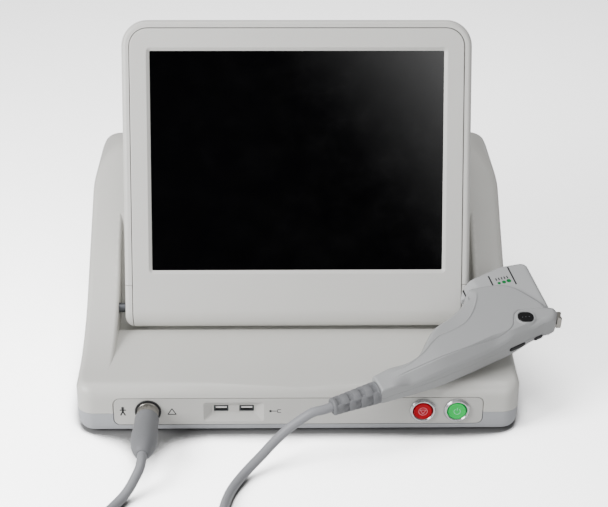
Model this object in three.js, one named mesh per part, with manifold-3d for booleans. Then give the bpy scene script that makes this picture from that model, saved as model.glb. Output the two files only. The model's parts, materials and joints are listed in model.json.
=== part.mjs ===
// Portable desktop ultrasound unit: a cradle-shaped console, a tilting display that stands in it,
// and one gun-shaped handpiece that lies across the front deck with its cord put away in a coil.
//
// Millimetres. +X is the viewer's right, +Y points to the back, +Z is up and the table is z = 0.
// Sub-assemblies are nested groups: the display is drawn upright about its hinge line, and the
// handpiece is drawn flat about the joint of its strain relief, then each group is posed.

import * as THREE from 'three';
import { mergeVertices } from 'three/addons/utils/BufferGeometryUtils.js';
import Module from 'manifold-3d';

const wasm = await Module();
wasm.setup();
const { Manifold, Mesh: SolidMesh } = wasm;

// Clearances

const seam = 0.3;              // between two fixed faces that meet
const slip = 0.4;              // round a piece that slides or presses
const running = 0.08;          // radial, round a turning shaft
const swing = 4;               // round the display, which tilts in its cradle

// Console

const consoleWidth = 446;
const consoleDepth = 345;
const coverWall = 3;
const coverEdge = 7;           // rounding of the outer side edges
const footHeight = 6;
const footRadius = 13;
const footInset = 34;
const panTop = 25.4;           // height of the two-tone seam
const panWall = 3;
const panEdge = 6;
const frontCorner = 18;        // corner radii seen from above
const rearCorner = 34;
const deckHeight = 56;
const deckEdge = 14;
const rampStart = 30;          // where the side rims leave the deck
const rampRadius = 173;
const rampAngle = rad(38);
const crownRadius = 50;        // rounding of the high rear hump
const shoulder = 42;           // corner radius of the hump seen from the front
const wingThickness = 34;

// Display

const screenWidth = 304.1;     // a 15 inch 4:3 screen
const screenHeight = 228.1;
const displayTilt = rad(19.7);
const displayThickness = 40;
const displayWall = 3;
const displayGap = 8.2;        // to the wing at each side
const displayTopCorner = 27;
const displayLowCorner = 9;
const rimWidth = 8.3;          // of the rear shell, seen round the bezel
const sideSeam = 26.5;         // height of the rear shell's lower seam above the hinge
const screenCentre = 156.2;    // above the hinge
const displayTop = 301.6;      // above the hinge
const screenChamfer = 3.4;
const hingeY = 128.5;
const hingeRise = 19.5;        // of the display's hinge above the deck
const hingeHeight = deckHeight + hingeRise;
const hingeRadius = 5;
const tiltBack = rad(15);      // travel of the tilt joint
const glassThickness = 1.1;
const lcdThickness = 9;

// Front panel and what it carries

const panelWidth = 370;
const panelHeight = 30.2;
const panelCentre = 27.3;
const panelCorner = 6.5;
const panelThickness = 1.2;
const panelRecess = 1.8;       // depth of its seat in the housing
const panelLip = 3;            // of housing left behind its edge
const controlHeight = 28;
const stopX = 124.8;
const powerX = 159.1;
const ringRadius = 13.3;
const ringProud = 3;
const ringDepth = 20;
const capRadius = 9.05;
const capProud = 2.4;
const capLength = 12;
const capTravel = 2;
const socketX = -150.8;
const socketRadius = 12.6;
const socketDepth = 24;
const plugShellRadius = 10.9;
const plugShellProud = 8.5;
const plugShellDepth = 16;
const bootRadius = 12.3;
const bootLength = 67;
const recessX = -65;
const recessHeight = 26.9;
const recessWidth = 60;
const recessTall = 21.4;
const recessDepth = 6;
const recessBevel = 8;
const portSpacing = 25.6;
const portRise = 0.4;          // of the ports above the recess's middle
const portWidth = 13.1;
const portTall = 5.7;
const portLength = 14;

// Rear panel and what it carries

const rearPanelWidth = 290;
const rearPanelHeight = 78;
const rearPanelCentre = 82;
const fanX = 92;
const fanRadius = 28;
const fanFrame = 60;
const fanThickness = 15;
const inletX = -104;
const inletWidth = 27;
const inletTall = 19.5;
const inletDepth = 18;
const rockerX = -64;
const rockerWidth = 13;
const rockerTall = 19;
const rockerTilt = rad(9);

// Handpiece: its outline lies in a plane, u along world X and v across it

const handX = 76.3;            // of the strain relief's joint
const handReach = 31.5;        // from that joint to where the grip rests on the deck's edge
const handHalf = 19;
const handWall = 2.5;
const handEdge = 8;
const gripHalf = 11;           // half thickness where the strain relief joins
const gripTaper = 78;          // length over which the grip thickens
const reliefAngle = rad(23);
const reliefLength = 49;
const reliefRadius = 10;
const reliefTip = 7.2;
const reliefRibs = 5;
const cartridgeAngle = rad(103.5);
const cartridgeHalf = 16;
const cartridgeLeft = 121.5;    // across the cartridge's axis
const cartridgeSlope = 32;     // width over which its left side thickens
const cartridgeNose = 2.5;      // half thickness of its left edge
const cartridgeRight = 196;
const cartridgeEnd = 127.5;    // along its axis
const cartridgeStart = 54;
const cartridgeWall = 3;
const slotFloor = 102;         // where the cartridge's slot in the head ends
const slotLeft = 99.5;
const slotWall = 2.2;
const windowThickness = 1.6;
const windowLeft = 152;         // across the cartridge's axis
const windowRight = 187;
const headEnd = { u: 187.5, v: 90 };
const underStart = { u: 128, v: 54 };                           // straight under edge, from here
const underEnd = { u: headEnd.u - 15.5, v: headEnd.v - 11 };    // to here
const oval = { u: 153.5, v: 85.5, halfWide: 8.2, halfTall: 7.3, depth: 1.2 };

// Cord

const cordDiameter = 9.5;
const cordSides = 8;
const coilCentre = new THREE.Vector2(-130, -201);
const coilRadius = 66;         // middle of the outermost turn
const coilTurnsEach = 2.5;     // turns in each of its two layers
const coilPitch = 11.6;
const coilSteps = 24;          // per turn
const coilSides = 6;
const coilRise = 10;
const lieHeight = cordDiameter / 2 - cordDiameter / 10;

function rad(degrees) {
  return degrees * Math.PI / 180;
}

// Finishes

function finish(color, roughness, metalness = 0, more = {}) {
  return new THREE.MeshStandardMaterial({ color, roughness, metalness, ...more });
}

const finishes = {
  cover: finish(0xd9d9d5, 0.45),
  pan: finish(0xb4b6ba, 0.5),
  panel: finish(0xd3d3d0, 0.42),
  bezel: finish(0xdededa, 0.42),
  rubber: finish(0x2b2c2e, 0.9),
  steel: finish(0xa9acb0, 0.38, 0.9),
  chrome: finish(0xe6e7e8, 0.12, 1),
  darkPlastic: finish(0x1c1d1f, 0.55),
  whitePlastic: finish(0xeeeeea, 0.5),
  greyPlastic: finish(0x8f9296, 0.6),
  handGrey: finish(0xb4b5b6, 0.42),
  handLight: finish(0xc9c9c9, 0.3),
  bootGrey: finish(0x8e9093, 0.7),
  cordGrey: finish(0x98999b, 0.6),
  red: finish(0xc01f2e, 0.25),
  green: finish(0x35c46a, 0.25),
  glass: finish(0x08080a, 0.05),
  board: finish(0x1f5a3a, 0.6),
  aluminium: finish(0xb9bcc0, 0.4, 0.85),
};

// Solids

const ALONG_X = new THREE.Matrix4().makeBasis(
  new THREE.Vector3(0, 1, 0), new THREE.Vector3(0, 0, 1), new THREE.Vector3(1, 0, 0));
const ALONG_Y = new THREE.Matrix4().makeBasis(
  new THREE.Vector3(1, 0, 0), new THREE.Vector3(0, 0, 1), new THREE.Vector3(0, -1, 0));

function solid(geometry) {
  const bare = geometry.clone();
  bare.deleteAttribute('normal');
  bare.deleteAttribute('uv');
  const merged = mergeVertices(bare, 1e-4);
  return new Manifold(new SolidMesh({
    numProp: 3,
    vertProperties: Float32Array.from(merged.attributes.position.array),
    triVerts: Uint32Array.from(merged.index.array),
  }));
}

function geometryOf(manifold) {
  const mesh = manifold.getMesh();
  const geometry = new THREE.BufferGeometry();
  geometry.setAttribute('position', new THREE.BufferAttribute(Float32Array.from(mesh.vertProperties), 3));
  geometry.setIndex(new THREE.BufferAttribute(Uint32Array.from(mesh.triVerts), 1));
  return geometry;
}

function part(parent, name, body, material) {
  const geometry = body.isBufferGeometry ? body : geometryOf(body);
  geometry.computeVertexNormals();
  const mesh = new THREE.Mesh(geometry, material);
  mesh.name = name;
  parent.add(mesh);
  return mesh;
}

// A box from its two corners
function block(low, high) {
  const size = high.map((value, i) => value - low[i]);
  const box = new THREE.BoxGeometry(...size);
  box.translate(low[0] + size[0] / 2, low[1] + size[1] / 2, low[2] + size[2] / 2);
  return solid(box);
}

// Everything below or above a height, wide enough to cut any piece
const wide = 2 * (consoleWidth + consoleDepth);

function below(height) {
  return block([-wide, -wide, -wide], [wide, wide, height]);
}

function above(height) {
  return block([-wide, -wide, height], [wide, wide, wide]);
}

// A prism of a shape drawn in XY, from one height to another
function prism(shape, low, high, segments = 6, bevel = 0, bevelSegments = 2) {
  const geometry = new THREE.ExtrudeGeometry(shape, {
    depth: high - low - 2 * bevel,
    curveSegments: segments,
    bevelEnabled: bevel > 0,
    bevelThickness: bevel,
    bevelSize: bevel,
    bevelOffset: -bevel,
    bevelSegments,
  });
  geometry.translate(0, 0, low + bevel);
  return geometry;
}

// The same for a shape drawn as (Y, Z), extruded along X
function prismX(shape, low, high, segments, bevel, bevelSegments) {
  return solid(prism(shape, low, high, segments, bevel, bevelSegments).applyMatrix4(ALONG_X));
}

// The same for a shape drawn as (X, Z), extruded along Y
function prismY(shape, low, high, segments, bevel, bevelSegments) {
  return solid(prism(shape, -high, -low, segments, bevel, bevelSegments).applyMatrix4(ALONG_Y));
}

function prismZ(shape, low, high, segments, bevel, bevelSegments) {
  return solid(prism(shape, low, high, segments, bevel, bevelSegments));
}

function polygon(points) {
  return new THREE.Shape(points.map(([x, y]) => new THREE.Vector2(x, y)));
}

function roundRect(x0, y0, x1, y1, r) {
  const radii = Array.isArray(r) ? r : [r, r, r, r];
  const [a, b, c, d] = radii;
  const shape = new THREE.Shape();
  shape.moveTo(x0 + a, y0);
  shape.lineTo(x1 - b, y0);
  shape.absarc(x1 - b, y0 + b, b, -Math.PI / 2, 0, false);
  shape.lineTo(x1, y1 - c);
  shape.absarc(x1 - c, y1 - c, c, 0, Math.PI / 2, false);
  shape.lineTo(x0 + d, y1);
  shape.absarc(x0 + d, y1 - d, d, Math.PI / 2, Math.PI, false);
  shape.lineTo(x0, y0 + a);
  shape.absarc(x0 + a, y0 + a, a, Math.PI, 1.5 * Math.PI, false);
  return shape;
}

// A body turned about the Y axis: profile points are [radius, y], from the axis to the axis
function turnedY(profile, x, z, segments = 22) {
  const lathe = new THREE.LatheGeometry(profile.map(([r, y]) => new THREE.Vector2(r, y)), segments);
  lathe.translate(x, 0, z);
  return orient(solid(lathe));
}

function turnedZ(profile, x, y, segments = 24) {
  const lathe = new THREE.LatheGeometry(profile.map(([r, z]) => new THREE.Vector2(r, z)), segments);
  lathe.rotateX(Math.PI / 2);
  lathe.translate(x, y, 0);
  return orient(solid(lathe));
}

function turnedX(profile, y, z, segments = 24) {
  const lathe = new THREE.LatheGeometry(profile.map(([r, x]) => new THREE.Vector2(r, x)), segments);
  lathe.rotateZ(-Math.PI / 2);
  lathe.translate(0, y, z);
  return orient(solid(lathe));
}

// A lathe drawn the other way round faces inward, so it is turned to face outward
function orient(body) {
  if (body.volume() > 0) return body;
  const mesh = body.getMesh();
  const flipped = Uint32Array.from(mesh.triVerts);
  for (let i = 0; i < flipped.length; i += 3) {
    [flipped[i + 1], flipped[i + 2]] = [flipped[i + 2], flipped[i + 1]];
  }
  return new Manifold(new SolidMesh({
    numProp: 3,
    vertProperties: Float32Array.from(mesh.vertProperties),
    triVerts: flipped,
  }));
}

function rodY(radius, low, high, x, z, segments = 22) {
  return turnedY([[0, low], [radius, low], [radius, high], [0, high]], x, z, segments);
}

function rodZ(radius, low, high, x, y, segments = 24) {
  return turnedZ([[0, low], [radius, low], [radius, high], [0, high]], x, y, segments);
}

function rodX(radius, low, high, y, z, segments = 24) {
  return turnedX([[0, low], [radius, low], [radius, high], [0, high]], y, z, segments);
}

// Console outline, drawn inset by a wall so that the inside follows the outside

const halfWidth = consoleWidth / 2;
const wingInner = halfWidth - wingThickness;
const displayHalf = wingInner - displayGap;
const barrelRadius = displayThickness / 2;
const rampTop = {
  y: rampStart + rampRadius * Math.sin(rampAngle),
  z: deckHeight + rampRadius * (1 - Math.cos(rampAngle)),
};
const crown = { y: consoleDepth - crownRadius, z: 0 };
crown.z = rampTop.z + (crown.y - rampTop.y) * Math.tan(rampAngle) - crownRadius / Math.cos(rampAngle);
const crownTop = crown.z + crownRadius;

function sideProfile(inset, bottom) {
  const edge = Math.max(deckEdge - inset, 1);
  const shape = new THREE.Shape();
  shape.moveTo(inset, bottom);
  shape.lineTo(consoleDepth - inset, bottom);
  shape.lineTo(consoleDepth - inset, crown.z);
  shape.absarc(crown.y, crown.z, crownRadius - inset, 0, Math.PI / 2 + rampAngle, false);
  shape.absarc(rampStart, deckHeight + rampRadius, rampRadius + inset, rampAngle - Math.PI / 2, -Math.PI / 2, true);
  shape.lineTo(deckEdge, deckHeight - inset);
  shape.absarc(inset + edge, deckHeight - inset - edge, edge, Math.PI / 2, Math.PI, false);
  shape.lineTo(inset, bottom);
  return shape;
}

function frontProfile(inset, bottom) {
  const half = halfWidth - inset;
  const top = crownTop + 1 - inset;
  return roundRect(-half, bottom, half, top, [0.5, 0.5, shoulder - inset, shoulder - inset]);
}

function planProfile(inset) {
  const front = frontCorner - inset;
  const rear = rearCorner - inset;
  const half = halfWidth - inset;
  return roundRect(-half, inset, half, consoleDepth - inset, [front, front, rear, rear]);
}

// The space between the wings, where the display stands and tilts
function cradle(grow) {
  const trough = barrelRadius + swing + grow;
  const floor = deckHeight - grow;
  const lean = displayTilt + tiltBack;
  const drop = hingeHeight - floor;
  const start = Math.PI + Math.asin(Math.min(drop / trough, 1));
  const shape = new THREE.Shape();
  shape.moveTo(-20, floor);
  shape.lineTo(hingeY + trough * Math.cos(start), floor);
  shape.absarc(hingeY, hingeHeight, trough, start, 2 * Math.PI - lean, false);
  const reach = 2 * crownTop;
  const wallY = hingeY + trough * Math.cos(lean);
  const wallZ = hingeHeight - trough * Math.sin(lean);
  shape.lineTo(wallY + reach * Math.sin(lean), wallZ + reach * Math.cos(lean));
  shape.lineTo(-20, wallZ + reach * Math.cos(lean));
  return prismX(shape, -wingInner - grow, wingInner + grow, 8);
}

function housing(inset, bottom) {
  const sides = prismX(sideProfile(inset, bottom), -halfWidth + inset, halfWidth - inset, 7, coverEdge - inset, 2);
  const front = prismY(frontProfile(inset, bottom), -5, consoleDepth + 5, 5);
  const plan = prismZ(planProfile(inset), bottom + coverEdge, crownTop + 20, 4);
  return Manifold.intersection([sides, front, plan]).subtract(cradle(inset));
}

// Openings shared by the cover and the pan

const panelBottom = panelCentre - panelHeight / 2;
const panelTop = panelCentre + panelHeight / 2;
const ringTubeRadius = capRadius + slip + 1.6;

function frontOpenings() {
  const half = panelWidth / 2;
  const seat = roundRect(-half - seam, panelBottom - seam, half + seam, panelTop + seam, panelCorner + seam);
  const way = roundRect(
    -half + panelLip, panelBottom + panelLip, half - panelLip, panelTop - panelLip, panelCorner - panelLip);
  return Manifold.union([
    prismY(seat, -10, panelRecess, 3),
    prismY(way, -10, 12, 3),
    rodY(socketRadius + slip, -10, 12, socketX, controlHeight),
    rodY(ringTubeRadius + slip, -10, 12, stopX, controlHeight),
    rodY(ringTubeRadius + slip, -10, 12, powerX, controlHeight),
  ]);
}

const rearLow = rearPanelCentre - rearPanelHeight / 2;
const rearHigh = rearPanelCentre + rearPanelHeight / 2;

function rearOpenings() {
  const half = rearPanelWidth / 2;
  const seat = roundRect(-half - seam, rearLow - seam, half + seam, rearHigh + seam, panelCorner + seam);
  const way = roundRect(
    -half + panelLip, rearLow + panelLip, half - panelLip, rearHigh - panelLip, panelCorner - panelLip);
  return Manifold.union([
    prismY(seat, consoleDepth - panelRecess, consoleDepth + 10, 3),
    prismY(way, consoleDepth - 12, consoleDepth + 10, 3),
  ]);
}

function makeHousing(parent) {
  const shell = housing(0, panTop - 20).subtract(housing(coverWall, panTop - 30));
  const shaftHoles = Manifold.union([-1, 1].map((side) => {
    const middle = side * (wingInner + coverWall / 2);
    return rodX(hingeRadius + 1, middle - 4, middle + 4, hingeY, hingeHeight);
  }));
  const cover = shell
    .subtract(below(panTop + seam))
    .subtract(frontOpenings())
    .subtract(rearOpenings())
    .subtract(shaftHoles);
  part(parent, 'top_cover', cover, finishes.cover);

  const outside = prismZ(planProfile(0), footHeight, panTop + 2 * panEdge, 4, panEdge, 2);
  const inside = prismZ(planProfile(panWall), footHeight + panWall, panTop + 20, 4);
  const pan = outside
    .subtract(inside)
    .subtract(above(panTop))
    .subtract(frontOpenings())
    .subtract(Manifold.union(footPlaces().map(([x, y]) => rodZ(4 + seam, 0, 20, x, y, 16))));
  part(parent, 'base_pan', pan, finishes.pan);
}

// Feet stand under the pan, each with a peg that plugs into the floor

function footPlaces() {
  const x = halfWidth - footInset;
  return [[-x, footInset], [x, footInset], [-x, consoleDepth - footInset], [x, consoleDepth - footInset]];
}

function makeFeet(parent) {
  const names = ['foot_front_left', 'foot_front_right', 'foot_rear_left', 'foot_rear_right'];
  footPlaces().forEach(([x, y], i) => {
    const foot = turnedZ([
      [0, 0], [footRadius - 1.5, 0], [footRadius, 1.5], [footRadius, footHeight - seam],
      [4, footHeight - seam], [4, footHeight + panWall], [0, footHeight + panWall],
    ], x, y, 20);
    part(parent, names[i], foot, finishes.rubber);
  });
}

// The front panel has a bevelled recess for the two ports

function makeFrontPanel(parent) {
  const half = panelWidth / 2;
  const face = panelRecess - seam - panelThickness;
  const plate = prismY(
    roundRect(-half, panelBottom, half, panelTop, panelCorner), face, face + panelThickness, 3);
  const back = face + recessDepth;
  const cup = frustum(recessWidth / 2 + 1, recessTall / 2 + 1, back + 1.2, recessBevel, face);
  const hollow = frustum(recessWidth / 2, recessTall / 2, back, recessBevel, face - 0.01);
  const slots = portPlaces().map((x) => block(
    [x - portWidth / 2 - 0.8, back - 2, portHeight() - portTall / 2 - 0.8],
    [x + portWidth / 2 + 0.8, back + 4, portHeight() + portTall / 2 + 0.8]));
  const panel = Manifold.union([plate, cup])
    .subtract(hollow)
    .subtract(Manifold.union(slots))
    .subtract(rodY(socketRadius + seam, -10, 10, socketX, controlHeight))
    .subtract(rodY(ringTubeRadius + seam, -10, 10, stopX, controlHeight))
    .subtract(rodY(ringTubeRadius + seam, -10, 10, powerX, controlHeight));
  part(parent, 'front_panel', panel, finishes.panel);
}

function portPlaces() {
  return [recessX - portSpacing / 2, recessX + portSpacing / 2];
}

function portHeight() {
  return recessHeight + portRise;
}

// Four-sided pocket that narrows from the panel's face to its back wall
function frustum(halfX, halfZ, back, bevel, face) {
  const inX = halfX - bevel;
  const inZ = halfZ - bevel * 0.75;
  const box = new THREE.BoxGeometry(2 * halfX, back - face, 2 * halfZ);
  const place = box.attributes.position;
  for (let i = 0; i < place.count; i += 1) {
    if (place.getY(i) > 0) {
      place.setX(i, Math.sign(place.getX(i)) * inX);
      place.setZ(i, Math.sign(place.getZ(i)) * inZ);
    }
  }
  box.translate(recessX, (back + face) / 2, recessHeight);
  return solid(box);
}

function makePorts(parent) {
  const face = panelRecess - seam - panelThickness + recessDepth;
  const front = face + seam;
  const back = front + portLength;
  portPlaces().forEach((x, i) => {
    const side = i === 0 ? 'left' : 'right';
    const z = portHeight();
    const shell = block([x - portWidth / 2, front, z - portTall / 2], [x + portWidth / 2, back, z + portTall / 2])
      .subtract(block([x - portWidth / 2 + 0.4, front - 1, z - portTall / 2 + 0.4],
        [x + portWidth / 2 - 0.4, back + 1, z + portTall / 2 - 0.4]));
    part(parent, `usb_shell_${side}`, shell, finishes.steel);
    const tongue = Manifold.union([
      block([x - 5.5, front + 0.8, z - 0.2], [x + 5.5, back - 3, z + 1.6]),
      block([x - portWidth / 2 + 0.7, back - 4, z - portTall / 2 + 0.7],
        [x + portWidth / 2 - 0.7, back, z + portTall / 2 - 0.7]),
    ]);
    part(parent, `usb_tongue_${side}`, tongue, finishes.whitePlastic);
  });
  const board = block([recessX - 44, back + seam, 14], [recessX + 44, back + seam + 1.6, 41]);
  part(parent, 'port_board', board, finishes.board);
}

// The socket and the plug that stands in it

function makeSocket(parent) {
  const face = panelRecess - seam - panelThickness;
  const bore = plugShellRadius + slip;
  part(parent, 'socket_ring', turnedY([
    [bore, face - seam], [bore, face - 1.6], [socketRadius + 1.1, face - 1.6],
    [socketRadius + 1.5, face - 1.2], [socketRadius + 1.5, face - seam], [bore, face - seam],
  ], socketX, controlHeight, 24), finishes.darkPlastic);
  part(parent, 'connector_socket', turnedY([
    [0, face + socketDepth], [socketRadius, face + socketDepth], [socketRadius, face],
    [bore, face], [bore, face + socketDepth - 4], [0, face + socketDepth - 4],
  ], socketX, controlHeight, 24), finishes.darkPlastic);
}

function makePlug(parent) {
  const face = panelRecess - seam - panelThickness;
  part(parent, 'plug_shell', turnedY([
    [0, -plugShellProud], [plugShellRadius, -plugShellProud], [plugShellRadius, plugShellDepth],
    [plugShellRadius - 1, plugShellDepth], [plugShellRadius - 1, face + 2], [0, face + 2],
  ], socketX, controlHeight, 24), finishes.chrome);
  const front = -plugShellProud - seam;
  const tip = front - bootLength;
  part(parent, 'plug_boot', turnedY([
    [0, front], [bootRadius - 0.8, front], [bootRadius, front - 2], [bootRadius, front - 26],
    [bootRadius + 0.5, front - 36], [bootRadius, front - 44], [bootRadius - 3, front - 55],
    [cordDiameter / 2 + 1.4, tip + 1.5], [cordDiameter / 2 + 0.6, tip], [0, tip],
  ], socketX, controlHeight, 22), finishes.bootGrey);
  return tip;
}

// Push buttons: a chrome ring with a threaded tube, a moving cap, and the switch behind it

function makeButton(parent, name, x, capFinish) {
  const face = panelRecess - seam - panelThickness;
  const bore = capRadius + slip;
  part(parent, `${name}_ring`, turnedY([
    [bore, ringDepth], [bore, -ringProud + 0.6], [bore + 0.6, -ringProud], [ringRadius - 2.2, -ringProud],
    [ringRadius, face - 1], [ringRadius, face - seam], [ringTubeRadius, face - seam],
    [ringTubeRadius, ringDepth], [bore, ringDepth],
  ], x, controlHeight, 24), finishes.chrome);
  part(parent, `${name}_cap`, turnedY([
    [0, -capProud - 0.5], [capRadius * 0.5, -capProud - 0.4], [capRadius - 0.8, -capProud],
    [capRadius, -capProud + 0.8], [capRadius, capLength - capProud],
    [0, capLength - capProud],
  ], x, controlHeight, 24), capFinish);
  const seat = capLength - capProud + capTravel + 0.6;
  part(parent, `${name}_switch`, turnedY([
    [0, seat], [capRadius - 1, seat], [capRadius - 1, ringDepth + seam], [ringTubeRadius, ringDepth + seam],
    [ringTubeRadius, ringDepth + 14], [0, ringDepth + 14],
  ], x, controlHeight, 24), finishes.darkPlastic);
}

// Rear panel with vents, fan, mains inlet and rocker switch

function makeRearPanel(parent) {
  const half = rearPanelWidth / 2;
  const low = consoleDepth - panelRecess + seam;
  const high = low + panelThickness;
  const plate = prismY(roundRect(-half, rearLow, half, rearHigh, panelCorner), low, high, 3);
  const slots = [];
  for (let i = 0; i < 9; i += 1) {
    const x = -36 + i * 9;
    slots.push(block([x - 2, low - 2, rearPanelCentre - 24], [x + 2, high + 2, rearPanelCentre + 24]));
  }
  const panel = plate
    .subtract(Manifold.union(slots))
    .subtract(rodY(fanRadius + 0.5, low - 5, high + 5, fanX, rearPanelCentre, 24))
    .subtract(block([inletX - inletWidth / 2 - seam, low - 5, rearPanelCentre - inletTall / 2 - seam],
      [inletX + inletWidth / 2 + seam, high + 5, rearPanelCentre + inletTall / 2 + seam]))
    .subtract(block([rockerX - rockerWidth / 2 - seam - 1, low - 5, rearPanelCentre - rockerTall / 2 - seam - 1],
      [rockerX + rockerWidth / 2 + seam + 1, high + 5, rearPanelCentre + rockerTall / 2 + seam + 1]));
  part(parent, 'rear_panel', panel, finishes.pan);
  return { low, high };
}

function makeFan(parent, low) {
  const back = low - seam;
  const front = back - fanThickness;
  const half = fanFrame / 2;
  const bore = fanRadius;
  const ring = prismY(roundRect(fanX - half, rearPanelCentre - half, fanX + half, rearPanelCentre + half, 3),
    front, back, 3);
  const spider = Manifold.union([0, 1, 2].map((i) => {
    const arm = block([0, front, -1.5], [bore + 1, front + 2, 1.5]);
    return arm.rotate([0, i * 120 + 30, 0]).translate([fanX, 0, rearPanelCentre]);
  }));
  const hub = rodY(9, front, front + 2, fanX, rearPanelCentre, 20);
  const pin = rodY(1.5, front, back - 3, fanX, rearPanelCentre, 12);
  const frame = Manifold.union([ring.subtract(rodY(bore, front - 1, back + 1, fanX, rearPanelCentre, 24)), spider, hub, pin]);
  part(parent, 'fan_frame', frame, finishes.darkPlastic);

  const start = front + 2.5;
  const end = back - 1.5;
  const cup = rodY(11, start, end, fanX, rearPanelCentre, 20);
  const blades = [];
  for (let i = 0; i < 7; i += 1) {
    const blade = block([8, -0.7, -4.5], [fanRadius - 1.2, 0.7, 4.5]).rotate([35, 0, 0]);
    blades.push(blade.rotate([0, i * 360 / 7, 0]).translate([fanX, (start + end) / 2, rearPanelCentre]));
  }
  const shaftHole = rodY(1.5 + running, start - 1, back - 3 + 0.3, fanX, rearPanelCentre, 12);
  part(parent, 'fan_rotor', Manifold.union([cup, ...blades]).subtract(shaftHole), finishes.darkPlastic);

  const guardLow = consoleDepth - panelRecess + seam + panelThickness + seam;
  const guardHigh = guardLow + 1.4;
  const rings = [30.5, 22, 13.5].map((r) => rodY(r, guardLow, guardHigh, fanX, rearPanelCentre, 20)
    .subtract(rodY(r - 2, guardLow - 1, guardHigh + 1, fanX, rearPanelCentre, 20)));
  const bars = [0, 90].map((turn) => block([-29, guardLow, -1], [29, guardHigh, 1])
    .rotate([0, turn + 45, 0]).translate([fanX, 0, rearPanelCentre]));
  part(parent, 'fan_guard', Manifold.union([...rings, ...bars, rodY(6, guardLow, guardHigh, fanX, rearPanelCentre, 20)]),
    finishes.steel);
}

function makeMains(parent, high) {
  const z = rearPanelCentre;
  const flangeLow = high + seam;
  const flangeHigh = flangeLow + 1.6;
  const body = prismY(roundRect(inletX - inletWidth / 2, z - inletTall / 2, inletX + inletWidth / 2, z + inletTall / 2, 2),
    high - inletDepth - 3, flangeHigh, 3);
  const flange = prismY(roundRect(inletX - inletWidth / 2 - 3, z - inletTall / 2 - 3,
    inletX + inletWidth / 2 + 3, z + inletTall / 2 + 3, 3), flangeLow, flangeHigh, 3);
  const cavity = prismY(polygon([
    [inletX - 12, z - 8], [inletX + 12, z - 8], [inletX + 12, z + 3.5], [inletX + 7.5, z + 8],
    [inletX - 7.5, z + 8], [inletX - 12, z + 3.5],
  ]), flangeHigh - inletDepth + 1, flangeHigh + 1, 1);
  const pins = [[-7, -1], [0, 3], [7, -1]].map(([x, dz]) => block(
    [inletX + x - 1, high - inletDepth, z + dz - 2], [inletX + x + 1, flangeHigh - 5.5, z + dz + 2]));
  const inlet = Manifold.union([Manifold.union([body, flange]).subtract(cavity), ...pins]);
  part(parent, 'mains_inlet', inlet, finishes.darkPlastic);

  const depth = 14;
  const wide = rockerWidth / 2;
  const tall = rockerTall / 2;
  const frame = Manifold.union([
    block([rockerX - wide - 1, high - depth - 2, z - tall - 1], [rockerX + wide + 1, flangeHigh, z + tall + 1]),
    block([rockerX - wide - 2.6, flangeLow, z - tall - 2.6], [rockerX + wide + 2.6, flangeHigh, z + tall + 2.6]),
  ]).subtract(block([rockerX - wide, high - depth, z - tall], [rockerX + wide, flangeHigh + 1, z + tall]));
  part(parent, 'mains_switch_frame', frame, finishes.darkPlastic);

  const pivotY = high - 4.5;
  const reach = tall - 1.9;
  const lift = reach * Math.tan(rockerTilt);
  const paddle = prismX(polygon([
    [0, -4], [4, -reach + 2.5], [5.5 + lift, -reach], [5.5, 0], [5.5 - lift * 0.8, reach], [1.5, reach - 2], [0, 4],
    [-4, 2.5], [-4, -2.5],
  ]), rockerX - wide + slip, rockerX + wide - slip, 1).translate([0, pivotY, z]);
  part(parent, 'mains_rocker', paddle, finishes.darkPlastic);
  return { pivotY, pivotZ: z };
}

// What the console holds: a chassis plate, boards, the power supply and the hinge brackets

const floorTop = footHeight + panWall;
const plateTop = floorTop + seam + 1.5;

function makeInsides(parent) {
  const inner = halfWidth - coverWall;
  const plate = prismZ(roundRect(-inner + 10, 40, inner - 10, consoleDepth - 16, 20), floorTop + seam, plateTop, 3);
  const bracketFeet = Manifold.union([-1, 1].map((side) => {
    const x = side * (wingInner + coverWall + 14);
    return block([x - 12, hingeY - 17, floorTop - 1], [x + 12, hingeY + 17, plateTop + 1]);
  }));
  const spacerTop = plateTop + 6;
  const boards = [
    { name: 'main_board', x0: -60, x1: 120, y0: 56, y1: 176 },
    { name: 'driver_board', x0: 30, x1: 160, y0: 196, y1: 290 },
  ];
  const spacers = boards.flatMap(({ x0, x1, y0, y1 }) => {
    const corners = [[x0 + 6, y0 + 6], [x1 - 6, y0 + 6], [x0 + 6, y1 - 6], [x1 - 6, y1 - 6]];
    return corners.map(([x, y]) => rodZ(3, plateTop - 1, spacerTop, x, y, 10));
  });
  part(parent, 'chassis_plate', Manifold.union([plate.subtract(bracketFeet), ...spacers]), finishes.steel);

  boards.forEach(({ name, x0, x1, y0, y1 }) => {
    const low = spacerTop + seam;
    const chips = [
      block([x0 + 30, y0 + 30, low + 1.5], [x0 + 62, y0 + 62, low + 9]),
      block([x1 - 50, y1 - 40, low + 1.5], [x1 - 20, y1 - 16, low + 12]),
    ];
    part(parent, name, Manifold.union([block([x0, y0, low], [x1, y1, low + 1.6]), ...chips]), finishes.board);
  });

  const base = plateTop + seam;
  const supply = block([-180, 200, base], [-60, 300, base + 44]);
  part(parent, 'power_supply', supply, finishes.aluminium);

  const room = housing(coverWall + seam, panTop - 30);
  [-1, 1].forEach((side) => {
    const low = wingInner + coverWall + 2;
    const x0 = side > 0 ? low : -low - 9;
    const upright = prismX(polygon([
      [hingeY - 14, floorTop + seam], [hingeY + 14, floorTop + seam],
      [hingeY + 10, hingeHeight + 9], [hingeY - 10, hingeHeight + 9],
    ]), x0, x0 + 9, 1);
    const bracket = upright
      .intersect(room)
      .subtract(rodX(hingeRadius + running, x0 - 1, x0 + 10, hingeY, hingeHeight, 24));
    part(parent, side > 0 ? 'hinge_bracket_right' : 'hinge_bracket_left', bracket, finishes.steel);
  });
}

// Display: drawn upright, its hinge line at y = 0 and z = 0, its face at y = -barrelRadius

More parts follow.
